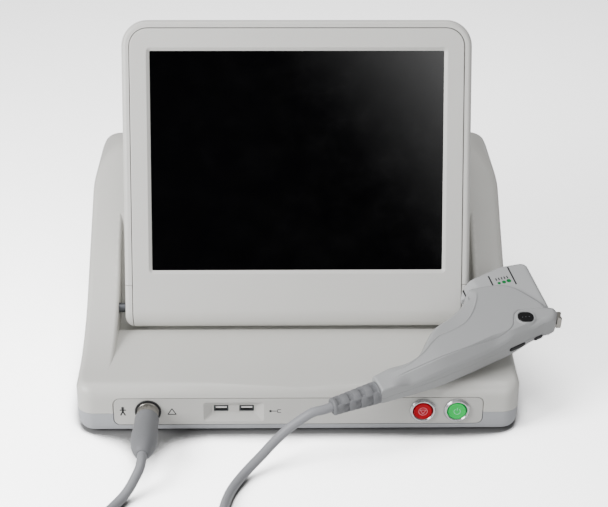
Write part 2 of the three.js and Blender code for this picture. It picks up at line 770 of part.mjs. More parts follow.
function displayBody(inset) {
  const r = barrelRadius - inset;
  const top = displayTop - inset;
  const edge = Math.max(6 - inset, 1);
  const side = new THREE.Shape();
  side.moveTo(r, 0);
  side.lineTo(r, top - edge);
  side.absarc(r - edge, top - edge, edge, 0, Math.PI / 2, false);
  side.lineTo(-r + edge, top);
  side.absarc(-r + edge, top - edge, edge, Math.PI / 2, Math.PI, false);
  side.lineTo(-r, 0);
  side.absarc(0, 0, r, Math.PI, 2 * Math.PI, false);
  const half = displayHalf - inset;
  const low = displayLowCorner - inset;
  const high = displayTopCorner - inset;
  const solidSide = prismX(side, -half, half, 6, Math.max(4 - inset, 0.8), 2);
  const outline = prismY(roundRect(-half, -r - 1, half, top + 1, [low, low, high, high]), -30, 30, 5);
  return solidSide.intersect(outline);
}

const bezelHalf = displayHalf - rimWidth;
const bezelTop = displayTop - rimWidth;

// The bezel is the front wall inside the rim, and it wraps under the barrel
function bezelRegion(grow) {
  const wall = displayWall + 0.2;
  const shape = new THREE.Shape();
  const under = rad(76);
  shape.moveTo(-barrelRadius - 5, bezelTop + grow);
  shape.lineTo(-barrelRadius - 5, 0);
  shape.absarc(0, 0, barrelRadius + 5, Math.PI, Math.PI + under + grow / barrelRadius, false);
  shape.absarc(0, 0, barrelRadius - wall - grow, Math.PI + under + grow / barrelRadius, Math.PI, true);
  shape.lineTo(-barrelRadius + wall + grow, bezelTop + grow);
  const band = prismX(shape, -bezelHalf - grow, bezelHalf + grow, 6);
  const low = 4 + grow;
  const high = displayTopCorner - rimWidth + grow;
  const half = bezelHalf + grow;
  const face = prismY(roundRect(-half, -barrelRadius - 6, half, bezelTop + grow, [low, low, high, high]), -40, 40, 5);
  return band.intersect(face);
}

function makeDisplay(parent) {
  const display = new THREE.Group();
  display.position.set(0, hingeY, hingeHeight);
  display.rotation.x = -displayTilt;
  parent.add(display);

  const shell = displayBody(0).subtract(displayBody(displayWall));
  const back = shell.subtract(bezelRegion(seam));
  const shaftHoles = rodX(hingeRadius + seam, -displayHalf - 5, displayHalf + 5, 0, 0);
  part(display, 'display_rear_shell', back.subtract(below(sideSeam + seam / 2)), finishes.bezel);
  part(display, 'display_lower_shell', back.subtract(above(sideSeam - seam / 2)).subtract(shaftHoles),
    finishes.bezel);

  const face = -barrelRadius;
  const w = screenWidth / 2;
  const h = screenHeight / 2;
  const opening = Manifold.union([
    block([-w, face - 1, screenCentre - h], [w, face + 10, screenCentre + h]),
    screenBevel(w, h, face),
  ]);
  part(display, 'display_bezel', shell.intersect(bezelRegion(0)).subtract(opening), finishes.bezel);

  const inner = face + displayWall;
  const glassBack = inner + seam + glassThickness;
  part(display, 'screen_glass', block(
    [-w - 5, inner + seam, screenCentre - h - 5], [w + 5, glassBack, screenCentre + h + 5]), finishes.glass);
  const lcdBack = glassBack + seam + lcdThickness;
  part(display, 'lcd_module', block(
    [-w - 9, glassBack + seam, screenCentre - h - 9], [w + 9, lcdBack, screenCentre + h + 9]), finishes.steel);
  const plateLow = 16;
  const plate = Manifold.union([
    block([-w - 9, lcdBack + seam, plateLow], [w + 9, lcdBack + seam + 1.5, screenCentre + h - 10]),
    block([-w - 9, lcdBack + seam, screenCentre - 60], [-w + 6, barrelRadius - displayWall - seam, screenCentre + 60]),
    block([w - 6, lcdBack + seam, screenCentre - 60], [w + 9, barrelRadius - displayWall - seam, screenCentre + 60]),
  ]);
  part(display, 'display_frame', plate, finishes.steel);
  const boardFront = lcdBack + seam + 1.5 + seam;
  part(display, 'display_board', block(
    [-60, boardFront, screenCentre - 40], [60, boardFront + 1.6, screenCentre + 30]), finishes.board);

  [-1, 1].forEach((side) => {
    const inside = displayHalf - 30;
    const outside = wingInner + coverWall + 2 + 9 + 3;
    const low = side > 0 ? inside : -outside;
    const high = side > 0 ? outside : -inside;
    const arm = side > 0 ? [inside, inside + 8] : [-inside - 8, -inside];
    const bottom = plateLow - seam;
    const shaft = Manifold.union([
      rodX(hingeRadius, low, high, 0, 0, 24),
      rodX(hingeRadius + 4, arm[0], arm[1], 0, 0, 24),
      block([arm[0], -4, 0], [arm[1], 8, bottom]),
    ]);
    part(display, side > 0 ? 'hinge_shaft_right' : 'hinge_shaft_left', shaft, finishes.steel);
  });
}

// Chamfer round the screen opening
function screenBevel(w, h, face) {
  const box = new THREE.BoxGeometry(2, 2, 2);
  const place = box.attributes.position;
  for (let i = 0; i < place.count; i += 1) {
    const front = place.getY(i) < 0;
    const grow = front ? screenChamfer : 0;
    place.setX(i, Math.sign(place.getX(i)) * (w + grow));
    place.setZ(i, Math.sign(place.getZ(i)) * (h + grow));
    place.setY(i, front ? face - 0.01 : face + displayWall * 0.8);
  }
  box.translate(0, 0, screenCentre);
  return solid(box);
}

// Handpiece

// Outline of the body, from the strain relief up the finger side, round the head and back
function handOutline() {
  const noseTop = [headEnd.u - 10.5, headEnd.v + 11];
  const noseLow = [underEnd.u, underEnd.v];
  const finger = new THREE.SplineCurve([
    [-3.9, 9.2], [15, 21.5], [40, 35.5], [51, 57], [58, 71.5], [65, 80], [76, 89.5], [90.5, 106], [97, 120.5],
  ].map(([x, y]) => new THREE.Vector2(x, y)));
  const head = new THREE.SplineCurve([
    [97, 120.5], [101.5, 126], [113, 129.5], [133, 133], [146, 129.5], [161.5, 117], noseTop,
  ].map(([x, y]) => new THREE.Vector2(x, y)));
  const nose = new THREE.SplineCurve([
    noseTop, [headEnd.u - 2.5, headEnd.v + 7], [headEnd.u, headEnd.v], [headEnd.u - 3.5, headEnd.v - 6], noseLow,
  ].map(([x, y]) => new THREE.Vector2(x, y)));
  const under = new THREE.SplineCurve([
    noseLow, [underStart.u, underStart.v], [96, 35.5], [57, 14.5], [26, 0], [3.9, -9.2],
  ].map(([x, y]) => new THREE.Vector2(x, y)));
  const points = [
    ...finger.getSpacedPoints(16),
    ...head.getSpacedPoints(12).slice(1),
    ...nose.getSpacedPoints(8).slice(1),
    ...under.getSpacedPoints(10).slice(1),
  ];
  return points.reverse();
}

// Moves each point of a closed outline inward along its own normal
function insetOutline(points, distance) {
  const count = points.length;
  return points.map((point, i) => {
    const before = points[(i + count - 1) % count];
    const after = points[(i + 1) % count];
    const a = point.clone().sub(before).normalize();
    const b = after.clone().sub(point).normalize();
    const normal = new THREE.Vector2(-a.y - b.y, a.x + b.x).normalize();
    const stretch = 1 / Math.max(Math.sqrt((1 + a.dot(b)) / 2), 0.6);
    return point.clone().addScaledVector(normal, distance * stretch);
  });
}

// Thickness of the grip, from the strain relief to the head
function gripScale(u, v) {
  const along = u * Math.cos(reliefAngle) + v * Math.sin(reliefAngle);
  const t = THREE.MathUtils.clamp(along / gripTaper, 0, 1);
  return THREE.MathUtils.lerp(gripHalf / handHalf, 1, THREE.MathUtils.smoothstep(t, 0, 1));
}

function handBody(inset) {
  const points = inset === 0 ? handOutline() : insetOutline(handOutline(), inset);
  const half = handHalf - inset;
  const geometry = prism(new THREE.Shape(points), -half, half, 1, handEdge - inset, 3);
  const place = geometry.attributes.position;
  for (let i = 0; i < place.count; i += 1) {
    place.setZ(i, place.getZ(i) * gripScale(place.getX(i), place.getY(i)));
  }
  return solid(geometry);
}

// Directions along and across the cartridge
const along = new THREE.Vector2(Math.cos(cartridgeAngle), Math.sin(cartridgeAngle));
const across = new THREE.Vector2(Math.sin(cartridgeAngle), -Math.cos(cartridgeAngle));

// A shape drawn as (across, along) and laid on the handpiece's plane
function onCartridge(shape, low, high, segments, bevel = 0) {
  const geometry = prism(shape, low, high, segments, bevel, 2);
  const turn = new THREE.Matrix4().makeBasis(
    new THREE.Vector3(across.x, across.y, 0),
    new THREE.Vector3(along.x, along.y, 0),
    new THREE.Vector3(0, 0, 1));
  return solid(geometry.applyMatrix4(turn));
}

// The slot that the cartridge slides into from the head's end, between two cheeks
function cartridgeSlot(grow) {
  const tall = cartridgeHalf + grow;
  return block([slotLeft - grow, slotFloor - grow, -tall], [wide, wide, tall]);
}

// Height of the outline above a point of u
function outlineTop(u) {
  const points = handOutline();
  const heights = points.map((a, i) => {
    const b = points[(i + 1) % points.length];
    if ((a.x - u) * (b.x - u) > 0) return -Infinity;
    return THREE.MathUtils.mapLinear(u, a.x, b.x, a.y, b.y);
  });
  return Math.max(...heights);
}

// The two side buttons: their places along the straight under edge, and half lengths
const sideButtons = [
  { name: 'handset_button_rear', share: 0.32, half: 10 },
  { name: 'handset_button_front', share: 0.85, half: 6.5 },
];
const underAngle = Math.atan2(underEnd.v - underStart.v, underEnd.u - underStart.u);
const buttonTall = 4.2;
const buttonDrop = 5;          // below the parting line
const buttonTravel = 1.5;

function sideButton(button, grow, low, high) {
  const tall = buttonTall + grow;
  const body = block([-button.half - grow, low, -buttonDrop - tall], [button.half + grow, high, -buttonDrop + tall]);
  const u = THREE.MathUtils.lerp(underStart.u, underEnd.u, button.share);
  const v = THREE.MathUtils.lerp(underStart.v, underEnd.v, button.share);
  return body.rotate([0, 0, underAngle * 180 / Math.PI]).translate([u, v, 0]);
}

function ovalShape(inset) {
  const wide = oval.halfWide - inset;
  const tall = oval.halfTall - inset;
  return roundRect(oval.u - wide, oval.v - tall, oval.u + wide, oval.v + tall, Math.min(wide, tall) - 0.2);
}

function makeHandset(parent, tilt, place) {
  const hand = new THREE.Group();
  hand.position.copy(place);
  hand.rotation.x = tilt;
  parent.add(hand);

  const outer = handBody(0);
  const inner = handBody(handWall);
  const floorTop = slotFloor - slip;
  const slotBed = outer.intersect(block([slotLeft - handWall, floorTop - slotWall, -wide], [wide, floorTop, wide]));
  const shell = outer
    .subtract(inner)
    .subtract(cartridgeSlot(slip))
    .add(slotBed)
    .subtract(prismZ(ovalShape(0), handHalf - oval.depth, handHalf + 5, 6))
    .subtract(Manifold.union(sideButtons.map((button) => sideButton(button, slip, -8, 8))))
    .subtract(latchSlot());
  part(hand, 'handset_upper_shell', shell.subtract(below(seam / 2)), finishes.handGrey);
  const lower = shell.subtract(above(-seam / 2));
  part(hand, 'handset_lower_shell', lower.add(motorSaddles()), finishes.handGrey);
  const lens = prismZ(ovalShape(seam), handHalf - oval.depth + seam, handHalf + 0.2, 6);
  part(hand, 'side_window', lens, finishes.darkPlastic);

  makeRelief(hand);
  makeCartridge(hand);
  makeLatch(hand);
  makeHandButtons(hand);
  makeHandInsides(hand);
  return hand;
}

// Ribbed strain relief, a stack of rings that taper towards the cord
function makeRelief(hand) {
  const pitch = (reliefLength - 6) / reliefRibs;
  const profile = [[0, 0.4], [reliefRadius * 0.86, 0.4]];
  for (let i = 0; i < reliefRibs; i += 1) {
    const start = 0.4 + i * pitch;
    const radius = THREE.MathUtils.lerp(reliefRadius, reliefTip, i / (reliefRibs - 1));
    profile.push([radius, start + 0.8], [radius, start + pitch * 0.62], [radius * 0.76, start + pitch * 0.68]);
    profile.push([radius * 0.76, start + pitch * 0.98]);
  }
  const tip = cordDiameter / 2 + 1;
  profile.push([tip, reliefLength - 5], [tip, reliefLength - 0.5], [tip - 0.5, reliefLength], [0, reliefLength]);
  const lathe = new THREE.LatheGeometry(profile.map(([r, y]) => new THREE.Vector2(r, y)), 12);
  lathe.rotateZ(Math.PI / 2 + reliefAngle);
  part(hand, 'strain_relief', orient(solid(lathe)), finishes.bootGrey);
}

function makeCartridge(hand) {
  const cartridge = new THREE.Group();
  hand.add(cartridge);
  const half = cartridgeHalf;
  const blank = onCartridge(
    roundRect(cartridgeLeft, cartridgeStart, cartridgeRight, cartridgeEnd, [7, 7, 9, 46]), -half, half, 5, 5);
  const section = polygon([
    [cartridgeLeft, -cartridgeNose], [cartridgeLeft + cartridgeSlope, -half - 1], [cartridgeRight + 1, -half - 1],
    [cartridgeRight + 1, half + 1], [cartridgeLeft + cartridgeSlope, half + 1], [cartridgeLeft, cartridgeNose],
  ]);
  const slab = prism(section, cartridgeStart - 2, cartridgeEnd + 2, 1);
  const toPlane = new THREE.Matrix4().makeBasis(
    new THREE.Vector3(across.x, across.y, 0), new THREE.Vector3(0, 0, -1), new THREE.Vector3(along.x, along.y, 0));
  const outside = above(0).rotate([-90, 0, 0]).translate([0, outlineTop(slotLeft) + slip, 0]);
  const room = Manifold.union([cartridgeSlot(0), outside]);
  const body = blank.intersect(solid(slab.applyMatrix4(toPlane))).intersect(room);

  const left = cartridgeLeft + cartridgeSlope * 0.75;
  const right = cartridgeRight - cartridgeWall - 1;
  const deep = 10;
  const lensLow = cartridgeEnd - cartridgeWall - 1;
  const hollow = onCartridge(roundRect(left, cartridgeStart, right, cartridgeEnd - cartridgeWall, 2), -deep, deep, 2)
    .subtract(below(slotFloor + cartridgeWall).rotate([-90, 0, 0]));
  const shell = body
    .subtract(hollow)
    .subtract(lensBody(seam, lensLow, cartridgeEnd + 5))
    .subtract(onCartridge(roundRect(windowLeft + 5, cartridgeEnd - 8, windowRight - 5, cartridgeEnd + 5, 2), -8, 8, 2));
  part(cartridge, 'cartridge_case', shell, finishes.handLight);
  part(cartridge, 'cartridge_window', lensBody(0, lensLow + seam, lensLow + seam + windowThickness),
    finishes.darkPlastic);
  const carriageStart = 74;
  const carriage = onCartridge(roundRect(left + slip, carriageStart, right - slip, carriageStart + 7, 1), -5, 5, 1);
  const lens = onCartridge(roundRect(150, carriageStart + 5, 166, carriageStart + 32, 2), -7, 7, 2);
  part(cartridge, 'transducer', Manifold.union([carriage, lens]), finishes.aluminium);
}

function lensBody(grow, low, high) {
  return onCartridge(roundRect(windowLeft - grow, low, windowRight + grow, high, 0.4), -10 - grow, 10 + grow, 1);
}

// The lever that lets the cartridge go, on its pivot pin at the head's end
const latchPivot = { u: headEnd.u - 6, v: headEnd.v + 2 };
const latchReach = 6.5;        // from the pivot to the thumb pad
const latchPad = 4.5;
const latchHalf = 2.6;
const latchSwing = 2.8;        // of room at each side of the lever

function latchSlot() {
  const { u, v } = latchPivot;
  const tall = latchHalf + latchSwing;
  return block([u - 5, v - tall, -latchHalf - slip], [u + 14, v + tall, latchHalf + slip]);
}

function makeLatch(hand) {
  const { u, v } = latchPivot;
  const pin = rodZ(1.5, -handHalf, handHalf, u, v, 12).intersect(handBody(handWall + seam));
  const lever = Manifold.union([
    rodZ(latchHalf, -latchHalf, latchHalf, u, v, 16),
    block([u, v - latchHalf, -latchHalf], [u + latchReach, v + latchHalf, latchHalf]),
    block([u + latchReach - 0.5, v - 4.5, -3.6], [u + latchReach + latchPad, v + 5.5, 3.6]),
  ]);
  part(hand, 'latch_lever', Manifold.union([pin, lever]), finishes.aluminium);
}

function makeHandButtons(hand) {
  sideButtons.forEach((button) => {
    part(hand, button.name, sideButton(button, 0, -1.1, 5), finishes.darkPlastic);
  });
}

// The focus motor lies in two saddles that stand on the lower shell
const motorStart = underStart.u - 37;
const motorLength = 40;
const motorRadius = 9;
const motorAcross = underStart.v + 20;

function motorSaddles() {
  const floor = -handHalf + handWall - 0.5;
  const ribs = [6, motorLength - 9].map((from) => block(
    [motorStart + from, motorAcross - 7, floor], [motorStart + from + 3, motorAcross + 7, -2]));
  return Manifold.union(ribs)
    .subtract(rodX(motorRadius + seam, motorStart - 1, motorStart + motorLength + 1, motorAcross, 0, 20));
}

function makeHandInsides(hand) {
  const room = handBody(handWall + seam);
  const motor = rodX(motorRadius, motorStart, motorStart + motorLength, motorAcross, 0, 20);
  part(hand, 'focus_motor', motor.intersect(room),
    finishes.aluminium);
  const board = prismZ(polygon([[22, 2], [88, 34], [88, 66], [66, 66], [50, 44], [22, 20]]), -0.8, 0.8, 1);
  part(hand, 'handset_board', board.intersect(room), finishes.board);
}

// The handpiece rests on the deck's front edge and on the wing's ramp: its tilt is found from both

function rampHeight(y) {
  if (y < rampStart) return deckHeight;
  if (y < rampTop.y) return deckHeight + rampRadius - Math.sqrt(rampRadius ** 2 - (y - rampStart) ** 2);
  return rampTop.z + (y - rampTop.y) * Math.tan(rampAngle);
}

function handPose(tilt) {
  const normal = [-Math.sin(tilt), Math.cos(tilt)];
  const slope = [Math.cos(tilt), Math.sin(tilt)];
  const lift = deckEdge + seam + handHalf;
  const y = deckEdge + lift * normal[0] - handReach * slope[0];
  const z = deckHeight - deckEdge + lift * normal[1] - handReach * slope[1];
  return { y, z, normal, slope };
}

function tipGap(tilt) {
  const pose = handPose(tilt);
  const u = halfWidth - coverEdge - handX;
  const tip = (cartridgeEnd - u * along.x) / along.y;
  const y = pose.y + tip * pose.slope[0] - cartridgeHalf * pose.normal[0];
  const z = pose.z + tip * pose.slope[1] - cartridgeHalf * pose.normal[1];
  return (z - rampHeight(y)) * Math.cos(rampAngle) - seam;
}

function restingTilt() {
  let low = 0;
  let high = rad(40);
  for (let i = 0; i < 40; i += 1) {
    const middle = (low + high) / 2;
    if (tipGap(middle) > 0) high = middle;
    else low = middle;
  }
  return high;
}

// Cord

// A tube of rings along points, each ring square to the path, closed at both ends
function tube(points, radius, sides) {
  const count = points.length;
  const vertices = [];
  let side = new THREE.Vector3(0, 0, 1);
  points.forEach((point, i) => {
    const before = points[Math.max(i - 1, 0)];
    const after = points[Math.min(i + 1, count - 1)];
    const ahead = after.clone().sub(before).normalize();
    side = side.clone().addScaledVector(ahead, -side.dot(ahead)).normalize();
    const other = ahead.clone().cross(side);
    for (let k = 0; k < sides; k += 1) {
      const angle = 2 * Math.PI * (k + 0.5) / sides;
      vertices.push(point.clone()
        .addScaledVector(side, radius * Math.cos(angle))
        .addScaledVector(other, radius * Math.sin(angle)));
    }
  });
  const index = [];
  for (let i = 0; i + 1 < count; i += 1) {
    for (let k = 0; k < sides; k += 1) {
      const a = i * sides + k;
      const b = i * sides + (k + 1) % sides;
      index.push(a, b, b + sides, a, b + sides, a + sides);
    }
  }
  for (let k = 1; k + 1 < sides; k += 1) {
    const last = (count - 1) * sides;
    index.push(0, k + 1, k, last, last + k, last + k + 1);
  }
  const geometry = new THREE.BufferGeometry();
  geometry.setFromPoints(vertices);
  geometry.setIndex(index);
  return orient(solid(geometry));
}

// The coil: one layer spirals in, climbs in a half turn, and the other spirals out on top
function coilPoints() {
  const points = [];
  const steps = Math.round(coilTurnsEach * coilSteps);
  const climb = coilSteps / 2;
  const inner = coilRadius - coilTurnsEach * coilPitch;
  const low = lieHeight;
  for (let i = 0; i <= 2 * steps + climb; i += 1) {
    const angle = Math.PI + 2 * Math.PI * i / coilSteps;
    const rising = THREE.MathUtils.clamp((i - steps) / climb, 0, 1);
    const inward = i <= steps ? i / coilSteps : Math.max(2 * steps + climb - i, 0) / coilSteps;
    const radius = Math.max(coilRadius - inward * coilPitch, inner);
    const height = low + coilRise * THREE.MathUtils.smoothstep(rising, 0, 1);
    points.push(new THREE.Vector3(
      coilCentre.x + radius * Math.cos(angle), coilCentre.y + radius * Math.sin(angle), height));
  }
  const first = points[0].clone().add(new THREE.Vector3(0, cordDiameter, 0));
  const last = points[points.length - 1].clone().add(new THREE.Vector3(0, cordDiameter, 0));
  return [first, ...points, last];
}

// Least distance between turns, less the cord's own width
function leastGap(points) {
  let least = Infinity;
  for (let i = 0; i < points.length; i += 1) {
    for (let j = i + Math.round(coilSteps / 3); j < points.length; j += 1) {
      least = Math.min(least, points[i].distanceTo(points[j]));
    }
  }
  return least - cordDiameter;
}

// Free stretches: points chosen by hand from the picture, table height where they lie
const plugRoute = [
  [-152, -93, 24.5], [-155.5, -99.5, 19.5], [-160, -106.5, 13.5],
  [-166, -114, 8], [-173, -123, 5], [-181, -136, 4.2], [-189, -152, 3.9], [-194, -168, 3.8],
];
const handRoute = [
  [13.5, -49, 58.5], [5, -49.5, 53], [-3.5, -50, 46.5], [-12, -51, 39.5], [-20, -53.5, 32.5], [-27.5, -57, 26],
  [-35, -62, 19.5], [-43, -68, 13.8], [-51, -76, 9.2], [-58.5, -87, 6.3], [-65, -101, 5], [-69.5, -118, 4.9],
  [-71.5, -136, 6.4], [-70.5, -154, 9.2], [-67.5, -171, 12],
];

// It leaves and arrives straight, square to what it meets
function stretch(start, leaving, route, end, steps) {
  const straight = cordDiameter;
  const points = [
    start,
    start.clone().addScaledVector(leaving, straight),
    ...route.map(([x, y, z]) => new THREE.Vector3(x, y, z)),
    end.clone().add(new THREE.Vector3(0, straight, 0)),
    end,
  ];
  const curve = new THREE.CatmullRomCurve3(points, false, 'centripetal');
  return curve.getSpacedPoints(steps);
}

function makeCord(parent, bootTip, reliefEnd, reliefDirection) {
  const points = coilPoints();
  const radius = cordDiameter / 2;
  part(parent, 'cord_coil', tube(points, radius, coilSides).trimByPlane([0, 0, 1], 0), finishes.cordGrey);
  console.log(`coil least gap to itself ${leastGap(points).toFixed(2)} mm`);

  const away = new THREE.Vector3(0, seam, 0);
  const plugStart = new THREE.Vector3(socketX, bootTip - seam, controlHeight);
  const plugEnd = points[0].clone().add(away);
  part(parent, 'cord_to_plug', tube(stretch(plugStart, new THREE.Vector3(0, -1, 0), plugRoute, plugEnd, 18), radius, cordSides)
    .trimByPlane([0, 0, 1], 0), finishes.cordGrey);

  const handStart = reliefEnd.clone().addScaledVector(reliefDirection, seam);
  const handEnd = points[points.length - 1].clone().add(away);
  part(parent, 'cord_to_handset', tube(stretch(handStart, reliefDirection, handRoute, handEnd, 28), radius, cordSides)
    .trimByPlane([0, 0, 1], 0), finishes.cordGrey);

  const tieX = coilCentre.x;
  const middle = coilRadius - coilTurnsEach * coilPitch / 2;
  const halfTie = coilTurnsEach * coilPitch / 2 + radius + 1;
  const top = lieHeight + coilRise + radius + 0.6;
  const tieY = coilCentre.y - middle;
  const tie = block([tieX - 5, tieY - halfTie - 1.2, 0], [tieX + 5, tieY + halfTie + 1.2, top + 1.2])
    .subtract(block([tieX - 6, tieY - halfTie, -1], [tieX + 6, tieY + halfTie, top]));
  part(parent, 'coil_tie', tie, finishes.darkPlastic);
}

// Assembly

const unit = new THREE.Group();

makeHousing(unit);
makeFeet(unit);
makeFrontPanel(unit);
makePorts(unit);
makeSocket(unit);
const bootTip = makePlug(unit);
makeButton(unit, 'stop', stopX, finishes.red);
makeButton(unit, 'power', powerX, finishes.green);
const rear = makeRearPanel(unit);
makeFan(unit, rear.low);
const rocker = makeMains(unit, rear.high);
makeInsides(unit);
makeDisplay(unit);

const handTilt = restingTilt();
const rest = handPose(handTilt);
const hand = makeHandset(unit, handTilt, new THREE.Vector3(handX, rest.y, rest.z));
hand.updateMatrixWorld(true);

function handPoint(u, v, n) {
  return hand.localToWorld(new THREE.Vector3(u, v, n));
}

const reliefDirection = new THREE.Vector3(-Math.cos(reliefAngle), -Math.sin(reliefAngle), 0)
  .transformDirection(hand.matrixWorld);
const reliefEnd = handPoint(
  -reliefLength * Math.cos(reliefAngle), -reliefLength * Math.sin(reliefAngle), 0);
makeCord(unit, bootTip, reliefEnd, reliefDirection);

// The origin is under the middle of the console and the handpiece, cord left out

const bounds = new THREE.Box3();
unit.updateMatrixWorld(true);
unit.traverse((node) => {
  const cord = /^(cord|coil|plug)/.test(node.name);
  if (node.isMesh && !cord) bounds.expandByObject(node, true);
});
const centre = bounds.getCenter(new THREE.Vector3());
unit.position.set(-centre.x, -centre.y, 0);
unit.updateMatrixWorld(true);

function report(label, point) {
  const shown = point.toArray().map((value) => value.toFixed(2)).join(', ');
  console.log(`${label}: ${shown}`);
}

report('origin shift', unit.position);
report('bounds low', bounds.min);
report('bounds high', bounds.max);
console.log(`handpiece tilt ${(handTilt * 180 / Math.PI).toFixed(2)} degrees`);
report('display hinge', unit.localToWorld(new THREE.Vector3(0, hingeY, hingeHeight)));
report('rocker pivot', unit.localToWorld(new THREE.Vector3(rockerX, rocker.pivotY, rocker.pivotZ)));
report('fan axis', unit.localToWorld(new THREE.Vector3(fanX, consoleDepth, rearPanelCentre)));
report('relief end', reliefEnd);
report('relief direction', reliefDirection);
report('cartridge slide direction', new THREE.Vector3(1, 0, 0).transformDirection(hand.matrixWorld));
report('handset lift direction', new THREE.Vector3(0, 0, 1).transformDirection(hand.matrixWorld));
report('button press direction', new THREE.Vector3(-Math.sin(underAngle), Math.cos(underAngle), 0)
  .transformDirection(hand.matrixWorld));
report('latch pivot', handPoint(latchPivot.u, latchPivot.v, 0));

export default unit;
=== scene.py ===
# %% [markdown]
# # A desktop ultrasound unit, dressed for its portrait
#
# The real thing is a cradle-shaped console with a tilting screen, a front panel of sockets and
# buttons, and one gun-shaped handpiece lying across the deck on its cord. The solid model is already
# packed as a fixed frame, with every moving body in place. What is missing is what the eye reads
# first: soft moulded edges, parting lines, bright plating, fine plastic grain. This lesson adds them
# around the frame, cell by cell, and leaves the frame itself alone.

# %% Load the fixed frame
import json
import math

import bpy
import numpy as np
from mathutils import Matrix, Vector

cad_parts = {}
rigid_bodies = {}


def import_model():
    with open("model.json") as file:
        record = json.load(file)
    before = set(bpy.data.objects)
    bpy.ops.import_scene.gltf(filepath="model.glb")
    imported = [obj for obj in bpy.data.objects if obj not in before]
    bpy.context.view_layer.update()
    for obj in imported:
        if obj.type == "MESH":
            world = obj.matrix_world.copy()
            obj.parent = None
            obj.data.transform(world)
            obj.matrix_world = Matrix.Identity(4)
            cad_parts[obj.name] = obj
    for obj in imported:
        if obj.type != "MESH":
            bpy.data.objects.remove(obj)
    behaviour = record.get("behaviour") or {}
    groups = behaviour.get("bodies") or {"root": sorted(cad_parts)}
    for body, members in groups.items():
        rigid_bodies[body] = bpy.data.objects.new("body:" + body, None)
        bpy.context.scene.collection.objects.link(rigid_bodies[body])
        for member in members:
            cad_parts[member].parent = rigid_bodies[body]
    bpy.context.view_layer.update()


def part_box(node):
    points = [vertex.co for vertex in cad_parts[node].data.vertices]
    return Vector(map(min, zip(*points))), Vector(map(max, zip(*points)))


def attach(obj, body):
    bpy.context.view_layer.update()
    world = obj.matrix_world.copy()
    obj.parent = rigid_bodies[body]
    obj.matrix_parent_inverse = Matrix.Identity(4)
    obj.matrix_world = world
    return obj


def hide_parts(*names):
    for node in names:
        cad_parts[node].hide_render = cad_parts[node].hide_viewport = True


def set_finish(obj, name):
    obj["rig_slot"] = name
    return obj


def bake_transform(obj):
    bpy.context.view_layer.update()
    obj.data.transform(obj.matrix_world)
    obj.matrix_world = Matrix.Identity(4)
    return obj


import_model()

# %% [markdown]
# ## Where things are
#
# A maker measures from the thing itself, so the console is drawn with its front face at y = 0 and
# its middle at x = 0, in millimetres. The top cover's box says where that corner lies in the frame.
# The screen tips about its hinge and the handpiece lies at an angle, so both are drawn flat first
# and then laid in place by a turn about X.

# %% Millimetres, and the three places pieces are drawn in
MM = 0.001
cover_low, cover_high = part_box("top_cover")
ORIGIN = np.array([(cover_low.x + cover_high.x) / 2, cover_low.y, 0.0]) / MM


def turned(points, angle):
    """Turns points about X: y and z trade places by the sine of the angle."""
    x, y, z = np.moveaxis(np.asarray(points, float), -1, 0)
    c, s = math.cos(angle), math.sin(angle)
    return np.stack([x, y * c - z * s, y * s + z * c], -1)


def on_console(points):
    """Console millimetres to frame metres."""
    return (np.asarray(points, float) + ORIGIN) * MM


DECK, DECK_EDGE = 56.0, 14.0
HINGE_Y, HINGE_Z = 128.5, 75.5
DISPLAY_TILT = math.radians(19.7)


def on_display(points):
    """Display millimetres, drawn upright about the hinge line, to frame metres."""
    return on_console(turned(points, -DISPLAY_TILT) + [0, HINGE_Y, HINGE_Z])


HAND_TILT = math.radians(15.4)
HAND_X, HAND_REACH, HAND_HALF = 76.3, 31.5, 19.0
hand_lift = DECK_EDGE + 0.3 + HAND_HALF
HAND_AT = np.array([
    HAND_X,
    DECK_EDGE - hand_lift * math.sin(HAND_TILT) - HAND_REACH * math.cos(HAND_TILT),
    DECK - DECK_EDGE + hand_lift * math.cos(HAND_TILT) - HAND_REACH * math.sin(HAND_TILT)])


def on_hand(points):
    """Handpiece millimetres, drawn flat about the joint of its strain relief, to frame metres."""
    return on_console(turned(points, HAND_TILT) + HAND_AT)


print("console corner at", np.round(ORIGIN, 2), "mm; handpiece joint at", np.round(HAND_AT, 2), "mm")

# %% [markdown]
# ## The camera
#
# The photograph looks down on the unit from almost straight in front with a long lens. The known width of
# the screen fixes the distance, and the shape of the deck fixes the tilt. The view is built from
# three turns: yaw about the vertical, then the downward pitch, then a trace of roll.

# %% Camera
FOCAL_PIXELS, IMAGE_WIDTH, SENSOR = 1490.0, 608.0, 36.0
CAMERA_AT = (-19.9, -1257.5, 850.9)
PITCH, YAW, ROLL = math.radians(27.17), math.radians(-1.11), math.radians(0.34)

camera_data = bpy.data.cameras.new("camera")
camera_data.sensor_width = SENSOR
camera_data.lens = FOCAL_PIXELS / IMAGE_WIDTH * SENSOR
camera = bpy.data.objects.new("camera", camera_data)
bpy.context.scene.collection.objects.link(camera)
turn = Matrix.Rotation(YAW, 4, "Z") @ Matrix.Rotation(math.pi / 2 - PITCH, 4, "X")
turn = turn @ Matrix.Rotation(ROLL, 4, "Z")
camera.matrix_world = Matrix.Translation(on_console(CAMERA_AT)) @ turn
bpy.context.scene.camera = camera
print(f"lens {camera_data.lens:.1f} mm")

# %% [markdown]
# ## Meshes from arrays
#
# Every surface here is a grid of points: one parameter runs along the rows, the other round the
# columns. Working on whole arrays keeps the code short, and a single helper turns any grid into a
# mesh. A closed solid's faces must all point outward, which the sign of its volume tells: the sum
# over its faces of the little pyramids to a point inside.

